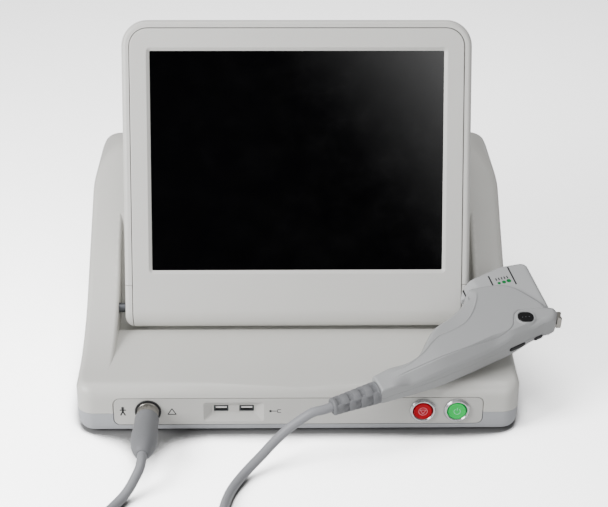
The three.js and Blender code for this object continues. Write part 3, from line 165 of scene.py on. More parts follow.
# %% Grid to mesh
def volume_of(points, faces):
    """Six times the volume: the sum of the corner products of each face's fan of triangles."""
    total = 0.0
    by_size = {}
    for face in faces:
        by_size.setdefault(len(face), []).append(face)
    for size, group in by_size.items():
        corners = points[np.array(group)]
        for k in range(1, size - 1):
            total += np.einsum("ij,ij->i", corners[:, 0], np.cross(corners[:, k], corners[:, k + 1])).sum()
    return total


def shade(obj, sharp=35.0):
    """Smooth shading, but crisp where two faces meet at more than sharp degrees."""
    mesh = obj.data
    mesh.polygons.foreach_set("use_smooth", np.ones(len(mesh.polygons), bool))
    mesh.set_sharp_from_angle(angle=math.radians(sharp))
    mesh.update()


def mesh_object(name, points, faces, sharp=35.0):
    """An object from points in metres, its faces turned outward."""
    points = np.asarray(points, float)
    if volume_of(points - points.mean(0), faces) < 0:
        faces = [face[::-1] for face in faces]
    mesh = bpy.data.meshes.new(name)
    mesh.from_pydata(points.tolist(), [], faces)
    made = bpy.data.objects.new(name, mesh)
    bpy.context.scene.collection.objects.link(made)
    shade(made, sharp)
    return made


def grid_faces(rows, columns):
    """Quads of a grid of rows by columns whose last column joins the first."""
    r, c = np.meshgrid(np.arange(rows - 1), np.arange(columns), indexing="ij")
    right = (c + 1) % columns
    quads = [r * columns + c, r * columns + right, (r + 1) * columns + right, (r + 1) * columns + c]
    return np.stack(quads, -1).reshape(-1, 4).tolist()


def skin(name, grid, place, sharp=35.0, closed=False):
    """A skin over rings of points, shape (rings, round, 3): capped at both ends, or joined end to end."""
    rings, count = grid.shape[:2]
    points = place(grid.reshape(-1, 3))
    if closed:
        faces = np.array(grid_faces(rings + 1, count)) % (rings * count)
        return mesh_object(name, points, faces.tolist(), sharp)
    faces = grid_faces(rings, count)
    faces += [list(range(count))[::-1], list(range((rings - 1) * count, rings * count))]
    return mesh_object(name, points, faces, sharp)


# %% [markdown]
# ## Lines and outlines
#
# Moulded parts have few sharp corners. An outline is written as its corner points with a radius at
# each, and every corner becomes an arc that touches both its edges. Because each corner always gives
# the same number of points, an outline and its inset match point for point and can be skinned. Free
# lines use a centripetal curve, whose knots are spaced by the square root of the distance between
# points, so it never overshoots at short steps.

# %% Lines
def between(t, start, end, a, b):
    """Straight from a to b as t runs from start to end."""
    return (a * (end - t) + b * (t - start)) / (end - start)


def flowing(points, spacing):
    """A centripetal curve through points: every span blends its four neighbours, level by level."""
    p = np.asarray(points, float)
    p = np.vstack([2 * p[0] - p[1], p, 2 * p[-1] - p[-2]])
    knot = np.concatenate([[0], np.cumsum(np.sqrt(np.linalg.norm(np.diff(p, axis=0), axis=1)))])
    pieces = []
    for i in range(1, len(p) - 2):
        t = np.linspace(knot[i], knot[i + 1], 24, endpoint=False)[:, None]
        k = knot[i - 1:i + 3]
        a = [between(t, k[j], k[j + 1], p[i - 1 + j], p[i + j]) for j in range(3)]
        b = [between(t, k[j], k[j + 2], a[j], a[j + 1]) for j in range(2)]
        pieces.append(between(t, k[1], k[2], *b))
    return evenly(np.vstack([*pieces, p[-2:-1]]), spacing)


def evenly(points, spacing):
    """The same line with points an even distance apart, or at given shares of its length."""
    along = np.concatenate([[0], np.cumsum(np.linalg.norm(np.diff(points, axis=0), axis=1))])
    if np.isscalar(spacing):
        places = np.linspace(0, along[-1], max(int(round(along[-1] / spacing)), 4) + 1)
    else:
        places = along[-1] * np.asarray(spacing)
    return np.stack([np.interp(places, along, points[:, k]) for k in range(points.shape[1])], 1)


def ease(t):
    """Nought to one with level ends."""
    t = np.clip(t, 0, 1)
    return t * t * (3 - 2 * t)


# %% Outlines
def rounded(corners, radii, steps=8):
    """A closed loop: each corner gives way to an arc whose centre lies on the corner's bisector."""
    corners = np.asarray(corners, float)
    radii = np.broadcast_to(np.asarray(radii, float), len(corners))
    loop = []
    for i, (corner, radius) in enumerate(zip(corners, radii)):
        if radius <= 0:
            loop.append(corner[None])
            continue
        before, after = corners[i - 1] - corner, corners[(i + 1) % len(corners)] - corner
        before, after = before / np.linalg.norm(before), after / np.linalg.norm(after)
        half = math.acos(np.clip(before @ after, -1, 1)) / 2
        middle = (before + after) / np.linalg.norm(before + after)
        centre = corner + middle * radius / math.sin(half)
        start = corner + before * radius / math.tan(half) - centre
        end = corner + after * radius / math.tan(half) - centre
        sweep = math.atan2(start[0] * end[1] - start[1] * end[0], start @ end)
        t = np.linspace(0, sweep, steps + 1)[:, None]
        loop.append(centre + start * np.cos(t) + np.array([-start[1], start[0]]) * np.sin(t))
    return np.vstack(loop)


def rounded_rect(x0, y0, x1, y1, radii, steps=8):
    """A rectangle with four corner radii, from the low left corner round."""
    radii = np.maximum(np.broadcast_to(radii, 4), 1e-3)
    return rounded([(x0, y0), (x1, y0), (x1, y1), (x0, y1)], radii, steps)


def rect_outline(x0, y0, x1, y1, radii, steps=8, shrink=0):
    """An outline function: the sides move in by the inset, and the radii shrink by a share of it."""
    return lambda inset: rounded_rect(x0 + inset, y0 + inset, x1 - inset, y1 - inset,
                                      np.asarray(radii, float) - shrink * inset, steps)


def dense_rect(x0, z0, x1, z1, radii, steps=8, across=20, along=90):
    """A rounded rectangle with many points along its sides, closer together near the bottom."""
    corners = rounded_rect(x0, z0, x1, z1, radii, steps).reshape(4, steps + 1, 2)
    level = np.linspace(0, 1, across + 2)[1:-1][:, None]
    rising = (np.linspace(0, 1, along + 2)[1:-1] ** 1.5)[:, None]
    sides = [level, rising, level, 1 - rising[::-1]]
    loop = []
    for i in range(4):
        end, start = corners[i][-1], corners[(i + 1) % 4][0]
        loop += [corners[i], end + (start - end) * sides[i]]
    return np.vstack(loop)


def level_ring(outline, inset, height):
    """An outline's loop, set in by a distance and lifted to a height."""
    loop = outline(inset)
    return np.column_stack([loop, np.full(len(loop), height)])


def moulded(outline, low, high, edge, steps=4, edge_high=None):
    """Rings of a plate from low to high whose rims are quarter circles; outline(inset) is its loop."""
    edge_high = edge if edge_high is None else edge_high
    a = np.linspace(0, math.pi / 2, steps + 1)
    levels = [(edge * (1 - math.sin(k)), low + edge * (1 - math.cos(k))) for k in a]
    levels += [(edge_high * (1 - math.sin(k)), high - edge_high * (1 - math.cos(k))) for k in a[::-1]]
    return np.stack([level_ring(outline, inset, height) for inset, height in levels])


def facing_front(points):
    """(x, z, depth) drawn on the front face to console x, y, z."""
    return on_console(np.asarray(points)[..., [0, 2, 1]])


def circle(x, z, radius, sides=64, start=0.0, end=360.0):
    """Points on a circle or an arc, from one angle in degrees to another."""
    a = np.radians(np.linspace(start, end, sides + 1))
    a = a[:-1] if end - start == 360 else a
    return np.column_stack([x + radius * np.cos(a), z + radius * np.sin(a)])


def round_outline(x, z, radius, sides=64):
    """The outline of a round hole or pin."""
    return lambda inset: circle(x, z, radius - inset, sides)


def lathe(name, profile, radii, x, z, sides=72, sharp=35.0, steps=3, closed=False):
    """A body turned about the front-to-back line through (x, z): profile points are (radius, y)."""
    loop = rounded(profile, radii, steps)
    if not closed:
        loop[:, 0] = np.maximum(loop[:, 0], 0.02)
    ring = circle(0, 0, 1, sides)
    grid = np.concatenate([
        loop[:, None, :1] * ring[None] + [x, z],
        np.broadcast_to(loop[:, None, 1:], (len(loop), sides, 1))], -1)
    return skin(name, grid, facing_front, sharp, closed)


# %% [markdown]
# ## Cutting and joining
#
# Openings, pockets and hollows are cut as a machinist would, one solid from another. The cutters are
# drawn like any other piece and vanish once they have done their work.

# %% Solids cut and joined
def combine(base, tools, operation, sharp):
    """Applies each tool to the base in turn and keeps only the result."""
    for tool in tools:
        step = base.modifiers.new(operation.lower(), "BOOLEAN")
        step.operation, step.object, step.solver = operation, tool, "MANIFOLD"
    view = bpy.context.evaluated_depsgraph_get()
    result = bpy.data.meshes.new_from_object(base.evaluated_get(view))
    old = base.data
    base.modifiers.clear()
    base.data = result
    bpy.data.meshes.remove(old)
    for tool in tools:
        bpy.data.meshes.remove(tool.data)
    shade(base, sharp)
    return base


def cut(base, *tools, sharp=35.0):
    """Base less every tool."""
    return combine(base, tools, "DIFFERENCE", sharp)


def join(base, *tools, sharp=35.0):
    """Base and every tool as one solid."""
    return combine(base, tools, "UNION", sharp)


def keep_inside(base, tool, sharp=35.0):
    """The part of the base that lies inside the tool."""
    return combine(base, [tool], "INTERSECT", sharp)


def box(low, high, place=on_console):
    """A block between two corners, for cutting."""
    (x0, y0, z0), (x1, y1, z1) = low, high
    corners = np.array([(x, y, z) for x in (x0, x1) for y in (y0, y1) for z in (z0, z1)])
    faces = [[0, 1, 3, 2], [4, 6, 7, 5], [0, 4, 5, 1], [2, 3, 7, 6], [0, 2, 6, 4], [1, 5, 7, 3]]
    return mesh_object("cutter", place(corners), faces)


def flared(outline, levels, place=facing_front):
    """A cutter whose outline grows by a given amount at each level, so that its mouth is softened."""
    return skin("cutter", np.stack([level_ring(outline, -grow, level) for grow, level in levels]), place)


def across_x(loop, low, high, place=on_console):
    """A cutter: a side outline of (y, z) points carried straight across from one x to another."""
    grid = np.stack([np.column_stack([np.full(len(loop), x), loop]) for x in (low, high)])
    return skin("cutter", grid, place)


def finish_piece(obj, body, slot, *nodes):
    """Flat faces keep flat shading beside small roundings; then the piece rides its body."""
    weighted = obj.modifiers.new("weighted", "WEIGHTED_NORMAL")
    weighted.keep_sharp = True
    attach(obj, body)
    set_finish(obj, slot)
    if nodes:
        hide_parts(*nodes)
    print(f"{obj.name}: {len(obj.data.polygons)} faces")
    return obj


# %% [markdown]
# ## The cord
#
# A grey medical lead leaves the plug's boot, lies along the table in a loose curve, and comes back to
# the handpiece. Between the two stretches that the picture shows, its spare length is wound into a
# neat coil just in front of the view. It is one tube: a path of points, and at each a ring square to
# it.

# %% The cord's path
CORD_DIAMETER = 9.5
LIE = CORD_DIAMETER * 0.4
COIL = np.array([-130.0, -205.0])
COIL_RADIUS, COIL_PITCH, COIL_TURNS, COIL_RISE = 66.0, 11.6, 2.5, 10.0
SOCKET_X, CONTROL_Z = -150.8, 28.0
BOOT_TIP = -75.8
RELIEF_ANGLE, RELIEF_LENGTH = math.radians(23), 49.0

plug_route = [
    (-152, -93, 24.5), (-155.5, -99.5, 19.5), (-160, -106.5, 13.5),
    (-166, -114, 8), (-173, -123, 5), (-181, -136, 4.2), (-189, -152, 3.9), (-194, -168, 3.8)]
hand_route = [
    (13.5, -49, 58.5), (5, -49.5, 53), (-3.5, -50, 46.5), (-12, -51, 39.5), (-20, -53.5, 32.5),
    (-27.5, -57, 26), (-35, -62, 19.5), (-43, -68, 13.8), (-51, -76, 9.2), (-58.5, -87, 6.3),
    (-65, -101, 5), (-69.5, -118, 4.9), (-71.5, -136, 6.4), (-70.5, -154, 9.2), (-67.5, -171, 12)]


def coil_path(per_turn=48):
    """The radius shrinks by a pitch a turn, holds for the half turn that climbs, and grows again."""
    half, climb = COIL_TURNS * per_turn, per_turn / 2
    i = np.arange(int(2 * half + climb) + 1)
    angle = math.pi + 2 * math.pi * i / per_turn
    inward = np.minimum(np.minimum(i, half), np.maximum(2 * half + climb - i, 0)) / per_turn
    rise = ease((i - half) / climb)
    radius = COIL_RADIUS - inward * COIL_PITCH
    x, y = COIL[0] + radius * np.cos(angle), COIL[1] + radius * np.sin(angle)
    return np.stack([x, y, LIE + COIL_RISE * rise], 1)


step = np.array([0, CORD_DIAMETER, 0])
coil = coil_path()
coil = np.vstack([coil[0] + step, coil, coil[-1] + step])
relief_way = turned([-math.cos(RELIEF_ANGLE), -math.sin(RELIEF_ANGLE), 0.0], HAND_TILT)
relief_end = HAND_AT + relief_way * RELIEF_LENGTH
plug_start = np.array([SOCKET_X, BOOT_TIP, CONTROL_Z])
plug_points = [plug_start, plug_start - step, *plug_route, coil[0] + step, coil[0]]
hand_points = [relief_end, relief_end + relief_way * CORD_DIAMETER, *hand_route, coil[-1] + step, coil[-1]]
cord_path = np.vstack([flowing(plug_points, 4.0)[:-1], coil[:-1], flowing(hand_points, 4.0)[::-1]])


# %% The cord's tube
def tube_rings(path, radius, sides):
    """Rings square to a path: tangents come from the neighbours, and each ring starts level."""
    tangent = np.gradient(path, axis=0)
    tangent /= np.linalg.norm(tangent, axis=1, keepdims=True)
    level = np.cross(tangent, [0, 0, 1.0])
    level /= np.linalg.norm(level, axis=1, keepdims=True)
    upward = np.cross(level, tangent)
    a = 2 * math.pi * np.arange(sides) / sides
    ring = level[:, None] * np.cos(a)[None, :, None] + upward[:, None] * np.sin(a)[None, :, None]
    return path[:, None] + ring * radius


lead = skin("lead", tube_rings(cord_path, CORD_DIAMETER / 2, 16), on_console)
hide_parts("cord_to_plug", "cord_coil", "cord_to_handset")
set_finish(lead, "cord_jacket")
on_console((-62, -100, 5)).tolist()
on_console(relief_end).tolist()
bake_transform(lead)

# %% [markdown]
# ## The top cover
#
# On the real unit this is one big injection moulding: a low front deck, two wings that rise from it in
# a long S, and a rounded hump behind. Seen from the side it is one outline; from the front its
# shoulders are rounded; from above its corners are. The outside is therefore written as a field, the
# distance to the surface, and each rounded corner between two faces is the place where the hypotenuse
# of the two distances equals the radius. Rays from an inner line find where the field is nought, and
# the rays are aimed at points of the side outline so that every bend gets its share of points.

# %% The cover's field
HALF_WIDTH, DEPTH, PAN_TOP, COVER_WALL = 223.0, 345.0, 25.4, 3.0
RAMP_Y, RAMP_RADIUS, RAMP_ANGLE, CROWN_RADIUS = 30.0, 173.0, math.radians(38), 50.0
WING_INNER, FRONT_CORNER, REAR_CORNER = 189.0, 18.0, 34.0
ramp_c, ramp_s = math.cos(RAMP_ANGLE), math.sin(RAMP_ANGLE)
ramp_z = DECK + RAMP_RADIUS
ramp_top = np.array([RAMP_Y + RAMP_RADIUS * ramp_s, ramp_z - RAMP_RADIUS * ramp_c])
crown_y = DEPTH - CROWN_RADIUS
crown_z = ramp_top[1] + (crown_y - ramp_top[0]) * math.tan(RAMP_ANGLE) - CROWN_RADIUS / ramp_c
crown_top = crown_z + CROWN_RADIUS


def corner(a, b, radius):
    """Two distances joined by a rounding: the hypotenuse of how far each reaches into the corner zone."""
    into_a, into_b = np.maximum(a + radius, 0), np.maximum(b + radius, 0)
    return np.minimum(np.maximum(a, b), -radius) + np.hypot(into_a, into_b)


def top_distance(y, z):
    """Distance to the deck, the hollow arc of the ramp, its straight rise and the round crown, in turn."""
    angle = np.arctan2(y - RAMP_Y, ramp_z - z)
    rise = (z - ramp_top[1]) * ramp_c - (y - ramp_top[0]) * ramp_s
    arc = RAMP_RADIUS - np.hypot(y - RAMP_Y, z - ramp_z)
    field = np.where(angle < 0, z - DECK, np.where(angle < RAMP_ANGLE, arc, rise))
    past = (y - crown_y) * ramp_c + (z - crown_z) * ramp_s > 0
    return np.where(past, np.hypot(y - crown_y, np.maximum(z - crown_z, 0)) - CROWN_RADIUS, field)


def cover_distance(x, y, z):
    """The top, the walls and the shoulders joined: soft at the front edge, tighter along the sides."""
    side = np.abs(x) - HALF_WIDTH
    front, back, lid = -y, y - DEPTH, z - crown_top - 1
    plan = np.where(y < DEPTH / 2, corner(side, front, FRONT_CORNER), corner(side, back, REAR_CORNER))
    shoulders = corner(side, lid, 42.0)
    radius = 7 + 7 * ease((front - side + 18) / 36)
    radius = radius - (radius - 0.3) * ease((back - side + 18) / 18)
    radius = radius - (radius - 0.3) * ease((lid - side) / 42)
    return corner(top_distance(y, z), np.maximum(plan, shoulders), radius)


def reach(field, centre, aim, far=420.0):
    """How far each ray runs before the field turns positive, by halving the interval forty times."""
    near, far = np.zeros(len(aim)), np.full(len(aim), far)
    for _ in range(40):
        middle = (near + far) / 2
        inside = field(*(centre + aim * middle[:, None]).T) < 0
        near, far = np.where(inside, middle, near), np.where(inside, far, middle)
    return centre + aim * near[:, None]


print(f"crown {crown_top:.1f} mm high at y {crown_y:.0f}")


# %% The cover's blank
def side_loop(bottom):
    """The side outline: floor, back, crown, straight rise, hollow ramp, deck and rounded front."""
    a = np.linspace(0, math.pi / 2 + RAMP_ANGLE, 30)
    crown = np.column_stack([crown_y + CROWN_RADIUS * np.cos(a), crown_z + CROWN_RADIUS * np.sin(a)])
    b = np.linspace(RAMP_ANGLE, 0, 40)
    ramp = np.column_stack([RAMP_Y + RAMP_RADIUS * np.sin(b), ramp_z - RAMP_RADIUS * np.cos(b)])
    c = np.linspace(math.pi / 2, math.pi, 12)
    nose = np.column_stack([DECK_EDGE + DECK_EDGE * np.cos(c), DECK - DECK_EDGE + DECK_EDGE * np.sin(c)])
    return [np.array([(0, bottom), (DEPTH, bottom)]), crown, ramp, nose]


def cover_blank(name, inset, bottom, spacing):
    """Rings at steps across the width; each ring is where rays in its plane meet the inset field."""
    loop = np.vstack(side_loop(bottom))
    loop = evenly(np.vstack([loop, loop[:1]]), spacing)[:-1]
    heart = np.array([235.0, 45.0])
    aims = (loop - heart) / np.linalg.norm(loop - heart, axis=1, keepdims=True)
    end = HALF_WIDTH - inset
    last = end - 7 + 6.999 * np.sin(np.linspace(0, math.pi / 2, 16))
    right = np.concatenate([[0, 90, 150], np.linspace(172, end - 7, 18)[:-1], last])
    stations = np.concatenate([-right[:0:-1], right])
    x = np.repeat(stations, len(loop))
    aim = np.column_stack([np.zeros(len(x)), np.tile(aims, (len(stations), 1))])
    centre = np.column_stack([x, np.full(len(x), heart[0]), np.full(len(x), heart[1])])

    def inset_field(px, py, pz):
        return np.maximum(cover_distance(px, py, pz) + inset, bottom - pz)

    points = reach(inset_field, centre, aim)
    return skin(name, points.reshape(len(stations), len(loop), 3), on_console, sharp=40)


cover = cover_blank("cover", 0.0, PAN_TOP - 20, 3.2)
hollow = cover_blank("cover_hollow", COVER_WALL, PAN_TOP - 30, 6.0)
print("blank", len(cover.data.polygons), "faces, hollow", len(hollow.data.polygons))

# %% [markdown]
# ## The cradle between the wings
#
# The screen stands in a trough as long as the console is wide between the wings. The trough's floor
# is the deck; behind it a wall leans back with the screen. The wings' inner rims are softly rounded,
# so the cutter flares outwards where it meets the outside: its section follows a quarter circle, and
# that section is carried along the ramp.

# %% Cutting the cradle
TROUGH, LEAN, RIM = 24.0, math.radians(34.7), 4.0


def cradle_loop(grow):
    """Deck level, the trough's arc about the hinge, then the leaning wall up and over."""
    trough, floor = TROUGH + grow, DECK - grow
    start = math.pi + math.asin((HINGE_Z - floor) / trough)
    a = np.linspace(start, 2 * math.pi - LEAN, 24)
    arc = np.column_stack([HINGE_Y + trough * np.cos(a), HINGE_Z + trough * np.sin(a)])
    top = arc[-1] + 260 * np.array([math.sin(LEAN), math.cos(LEAN)])
    return np.vstack([[(-20, floor)], arc, [top, (-20, top[1])]])


def rim_cutter():
    """Along the ramp, a section whose side curves out by RIM over the last RIM below the surface."""
    _, crown, ramp, _ = side_loop(0)
    outline = evenly(np.vstack([crown[16:], ramp, [(-20, DECK)]]), 3.0)
    way = np.gradient(outline, axis=0)
    way /= np.linalg.norm(way, axis=1, keepdims=True)
    normal = np.column_stack([way[:, 1], -way[:, 0]])
    a = np.linspace(0, math.pi / 2, 8)
    wide = np.append(WING_INNER + RIM * (1 - np.cos(a)), WING_INNER + RIM + 0.3)
    deep = np.append(-RIM + RIM * np.sin(a), 4.0)
    wide, deep = np.concatenate([-wide[::-1], wide]), np.concatenate([deep[::-1], deep])
    yz = outline[:, None] + normal[:, None] * deep[None, :, None]
    x = np.broadcast_to(wide, yz.shape[:2])[..., None]
    return skin("cutter", np.concatenate([x, yz], -1), on_console)


rims = keep_inside(rim_cutter(), across_x(cradle_loop(0), -300, 300))
cut(cover, across_x(cradle_loop(0), -WING_INNER, WING_INNER), rims)
cut(hollow, across_x(cradle_loop(COVER_WALL), -WING_INNER - COVER_WALL, WING_INNER + COVER_WALL))
cut(cover, hollow, box((-300, -100, -50), (300, 500, PAN_TOP + 0.3)), sharp=30)
print("cover", len(cover.data.polygons), "faces")

# %% Openings in the cover
PANEL_HALF, PANEL_LOW, PANEL_HIGH, PANEL_CORNER = 185.0, 12.2, 42.4, 6.5
REAR_HALF, REAR_LOW, REAR_HIGH = 145.0, 43.0, 121.0
STOP_X, POWER_X, TUBE_RADIUS = 124.8, 159.1, 11.05
front_outline = rect_outline(-PANEL_HALF, PANEL_LOW, PANEL_HALF, PANEL_HIGH, PANEL_CORNER, shrink=1)
rear_outline = rect_outline(-REAR_HALF, REAR_LOW, REAR_HALF, REAR_HIGH, PANEL_CORNER, shrink=1)


def front_cutters():
    """The panel's seat with a softened mouth, the way behind it, and the three round holes."""
    holes = [(SOCKET_X, 13.0), (STOP_X, TUBE_RADIUS + 0.4), (POWER_X, TUBE_RADIUS + 0.4)]
    return [flared(front_outline, [(1.3, -5), (1.3, -0.2), (0.9, 0.25), (0.8, 0.7), (0.8, 2.6)]),
            flared(front_outline, [(-3, -1), (-3, 12)]),
            *[flared(round_outline(x, CONTROL_Z, r), [(0, -1), (0, 12)]) for x, r in holes]]


cut(cover, *front_cutters(),
    flared(rear_outline, [(0.5, DEPTH - 1.8), (0.5, DEPTH - 0.7), (1.2, DEPTH + 0.2), (1.2, DEPTH + 5)]),
    flared(rear_outline, [(-3, DEPTH - 12), (-3, DEPTH + 1)]),
    *[across_x(circle(HINGE_Y, HINGE_Z, 6, 32), x - 4, x + 4)
      for x in (-WING_INNER - 1.5, WING_INNER + 1.5)], sharp=30)
finish_piece(cover, "console", "cover_plastic", "top_cover")

# %% [markdown]
# ## The base pan
#
# A shallow tray closes the housing from below and gives it the grey strip that shows under the seam.
# Its outline is the cover's seen from above; its walls lean in towards a well rounded bottom edge, so
# the unit seems to float a little above the table.

# %% Base pan
PAN_LOW, PAN_IN, PAN_BEND = 3.8, 6.5, 14.0
plan_radii = [FRONT_CORNER, FRONT_CORNER, REAR_CORNER, REAR_CORNER]
plan_outline = rect_outline(-HALF_WIDTH, 0, HALF_WIDTH, DEPTH, plan_radii, 14, shrink=1)
bend = np.linspace(0, math.pi / 2, 12)
pan_levels = [(PAN_IN * (1 - math.sin(k)), PAN_LOW + PAN_BEND * (1 - math.cos(k))) for k in bend]
pan = skin("pan", np.stack([level_ring(plan_outline, inset, height) for inset, height in [
    *pan_levels, (0, PAN_TOP - 0.4), (0.12, PAN_TOP - 0.12), (0.4, PAN_TOP)]]), on_console)
cut(pan, flared(plan_outline, [(-6, PAN_LOW + 4), (-4, PAN_LOW + 10), (-4, PAN_TOP + 9)], on_console),
    *front_cutters(), sharp=30)
finish_piece(pan, "console", "pan_plastic", "base_pan")

# %% [markdown]
# ## The front panel
#
# A separate insert carries the socket, the two ports in a bevelled recess, and the two push buttons.
# It sits in a shallow seat with a hair of dark gap all round. The little symbols are printed, so they
# are flat shapes a few hundredths of a millimetre proud of the face.

# %% Panel and its recess
PANEL_FACE, PANEL_THICK = 0.3, 1.2
RECESS_X, RECESS_Z, RECESS_DEPTH = -65.0, 26.9, 6.0
PORTS = [RECESS_X - 12.8, RECESS_X + 12.8]
PORT_Z = RECESS_Z + 0.4


def recess_rings(grow, levels):
    """The recess narrows with depth: shares of its bevel run from its mouth to its back wall."""
    rings = []
    for share, level in levels:
        half_x, half_z = 30 - 8 * share + grow, 10.7 - 6 * share + grow
        loop = rounded_rect(RECESS_X - half_x, RECESS_Z - half_z, RECESS_X + half_x, RECESS_Z + half_z, 2.4)
        rings.append(np.column_stack([loop, np.full(len(loop), level)]))
    return np.stack(rings)


back_wall = PANEL_FACE + RECESS_DEPTH
plate = moulded(front_outline, PANEL_FACE, PANEL_FACE + PANEL_THICK, 0.45, 4, 0.1)
panel = skin("panel", plate, facing_front)
join(panel, skin("cutter", recess_rings(1.0, [(0, PANEL_FACE + 0.2), (1, back_wall + 1.2)]), facing_front))
mouth = [(-0.12, -0.5), (-0.1, 0.1), (-0.04, 0.35), (0.04, 0.75), (0.95, 5.9), (1, back_wall)]
cut(panel, skin("cutter", recess_rings(0, mouth), facing_front),
    *[flared(rect_outline(x - 7.35, PORT_Z - 3.65, x + 7.35, PORT_Z + 3.65, 0.8),
             [(0.4, back_wall - 0.2), (0, back_wall + 0.3), (0, back_wall + 3)]) for x in PORTS],
    *[flared(round_outline(x, CONTROL_Z, r), [(0, -1), (0, 9)])
      for x, r in ((SOCKET_X, 12.9), (STOP_X, 11.35), (POWER_X, 11.35))], sharp=30)
finish_piece(panel, "console", "panel_plastic", "front_panel")


# %% Printed symbols
def stroke(points, width):
    """A flat band along a line: its two borders lie half the width to either side."""
    p = np.asarray(points, float)
    way = np.gradient(p, axis=0)
    way /= np.maximum(np.linalg.norm(way, axis=1, keepdims=True), 1e-9)
    side = np.column_stack([-way[:, 1], way[:, 0]]) * width / 2
    return np.stack([p - side, p + side], 1)


def disc(x, z, radius, sides=24):
    """A filled circle as a band between its lower and its upper half."""
    upper_half = circle(x, z, radius, sides, 2, 178)
    return np.stack([upper_half * [1, -1] + [0, 2 * z], upper_half], 1)


def printed(name, bands, face, body, slot, thick=0.05, place=facing_front):
    """Each band becomes a thin closed strip that stands on a face."""
    points, faces, start = [], [], 0
    for band in bands:
        n = len(band)
        low = np.concatenate([band, np.full((n, 2, 1), face)], -1)
        high = np.concatenate([band, np.full((n, 2, 1), face - thick)], -1)
        solid = place(np.stack([low[:, 0], low[:, 1], high[:, 1], high[:, 0]], 1).reshape(-1, 3))
        strip = grid_faces(n, 4) + [[3, 2, 1, 0], [4 * n - 4, 4 * n - 3, 4 * n - 2, 4 * n - 1]]
        if volume_of(solid - solid.mean(0), strip) < 0:
            strip = [side[::-1] for side in strip]
        points.append(solid)
        faces += (np.array(strip) + start).tolist()
        start += 4 * n
    mesh = bpy.data.meshes.new(name)
    mesh.from_pydata(np.vstack(points).tolist(), [], faces)
    made = bpy.data.objects.new(name, mesh)
    bpy.context.scene.collection.objects.link(made)
    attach(made, body)
    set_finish(made, slot)
    return made


FIGURE = np.array([-176.0, 28.0])
limbs = [([(0, 2.6), (0, -0.6)], 2.2), ([(-3.1, 1.3), (0, 2.1), (3.1, 1.3)], 1.3),
         *[([(0, -0.4), (1.3 * side, -2.4), (2.4 * side, -4.8)], 1.5) for side in (-1, 1)]]
figure = [disc(FIGURE[0], FIGURE[1] + 4.0, 1.5), *[stroke(FIGURE + line, width) for line, width in limbs]]
triangle = [stroke(line, 1.0) for line in (
    [(-131.0, 24.3), (-126.9, 31.0)], [(-126.9, 31.0), (-122.8, 24.3)], [(-131.2, 24.3), (-122.6, 24.3)])]
plug_mark = [stroke(line, 0.7) for line in (
    [(-27.5, 27.6), (-21.0, 27.6)], [(-21.0, 29.3), (-17.6, 29.3)], [(-21.0, 25.9), (-17.6, 25.9)],
    [(-21.0, 25.9), (-21.0, 29.3)])]
plug_mark.insert(1, disc(-28.2, 27.6, 1.3))
printed("panel_marks", figure + triangle + plug_mark, PANEL_FACE, "console", "black_plastic")

# %% [markdown]
# ## Socket, plug and boot
#
# The handpiece's connector stays in its socket. A thin black ring frames it, the plug's shell is
# dull metal with locking notches, and behind it a soft grey boot swells and then narrows to the
# cord. All are turned on one axis; the notches are cut.

# %% Socket, plug and boot
trim = lathe("socket_trim", [(11.3, 0.0), (11.3, -1.4), (13.2, -1.4), (13.2, 0.0)], [0.1, 0.3, 0.5, 0.1],
             SOCKET_X, CONTROL_Z, closed=True)
finish_piece(trim, "console", "black_plastic", "socket_ring")
SLEEVE = [(0, -12.5), (10.9, -12.5), (10.9, -3.4), (10.3, -3.0), (10.3, -2.2), (10.9, -1.8),
          (10.9, 16), (0, 16)]
sleeve = lathe("plug_sleeve", SLEEVE, [0, 0.6, 0.2, 0.2, 0.2, 0.2, 0.2, 0], SOCKET_X, CONTROL_Z)
NOTCH_RING, NOTCH_RADIUS = 11.4, 0.8
notches = [(SOCKET_X + NOTCH_RING * math.cos(k), CONTROL_Z + NOTCH_RING * math.sin(k))
           for k in np.radians([20, 90, 160, 200, 270, 340])]
notch_outlines = [round_outline(x, z, NOTCH_RADIUS, 16) for x, z in notches]
cut(sleeve, *[flared(outline, [(0, -14), (0, -4)]) for outline in notch_outlines], sharp=30)
finish_piece(sleeve, "console", "plain_aluminium", "plug_shell")

boot_line = flowing([(11.3, -12.8), (11.9, -13.6), (12.1, -16), (12.0, -24), (12.4, -34), (13.0, -44),
                     (12.9, -53), (12.0, -61), (10.2, -68), (8.2, -72.6), (6.2, -75.2), (5.2, BOOT_TIP)], 0.9)
boot_line = np.vstack([[(0, -12.8)], boot_line, [(0, BOOT_TIP)]])
boot = lathe("boot", boot_line, 0, SOCKET_X, CONTROL_Z, sharp=50)
finish_piece(boot, "console", "boot_rubber", "plug_boot")

# %% [markdown]
# ## Push buttons
#
# Each button is a polished ring with a deep inner chamfer and a coloured cap that moves inside it.
# The cap is a shallow dish inside a rounded rim, with a printed symbol.

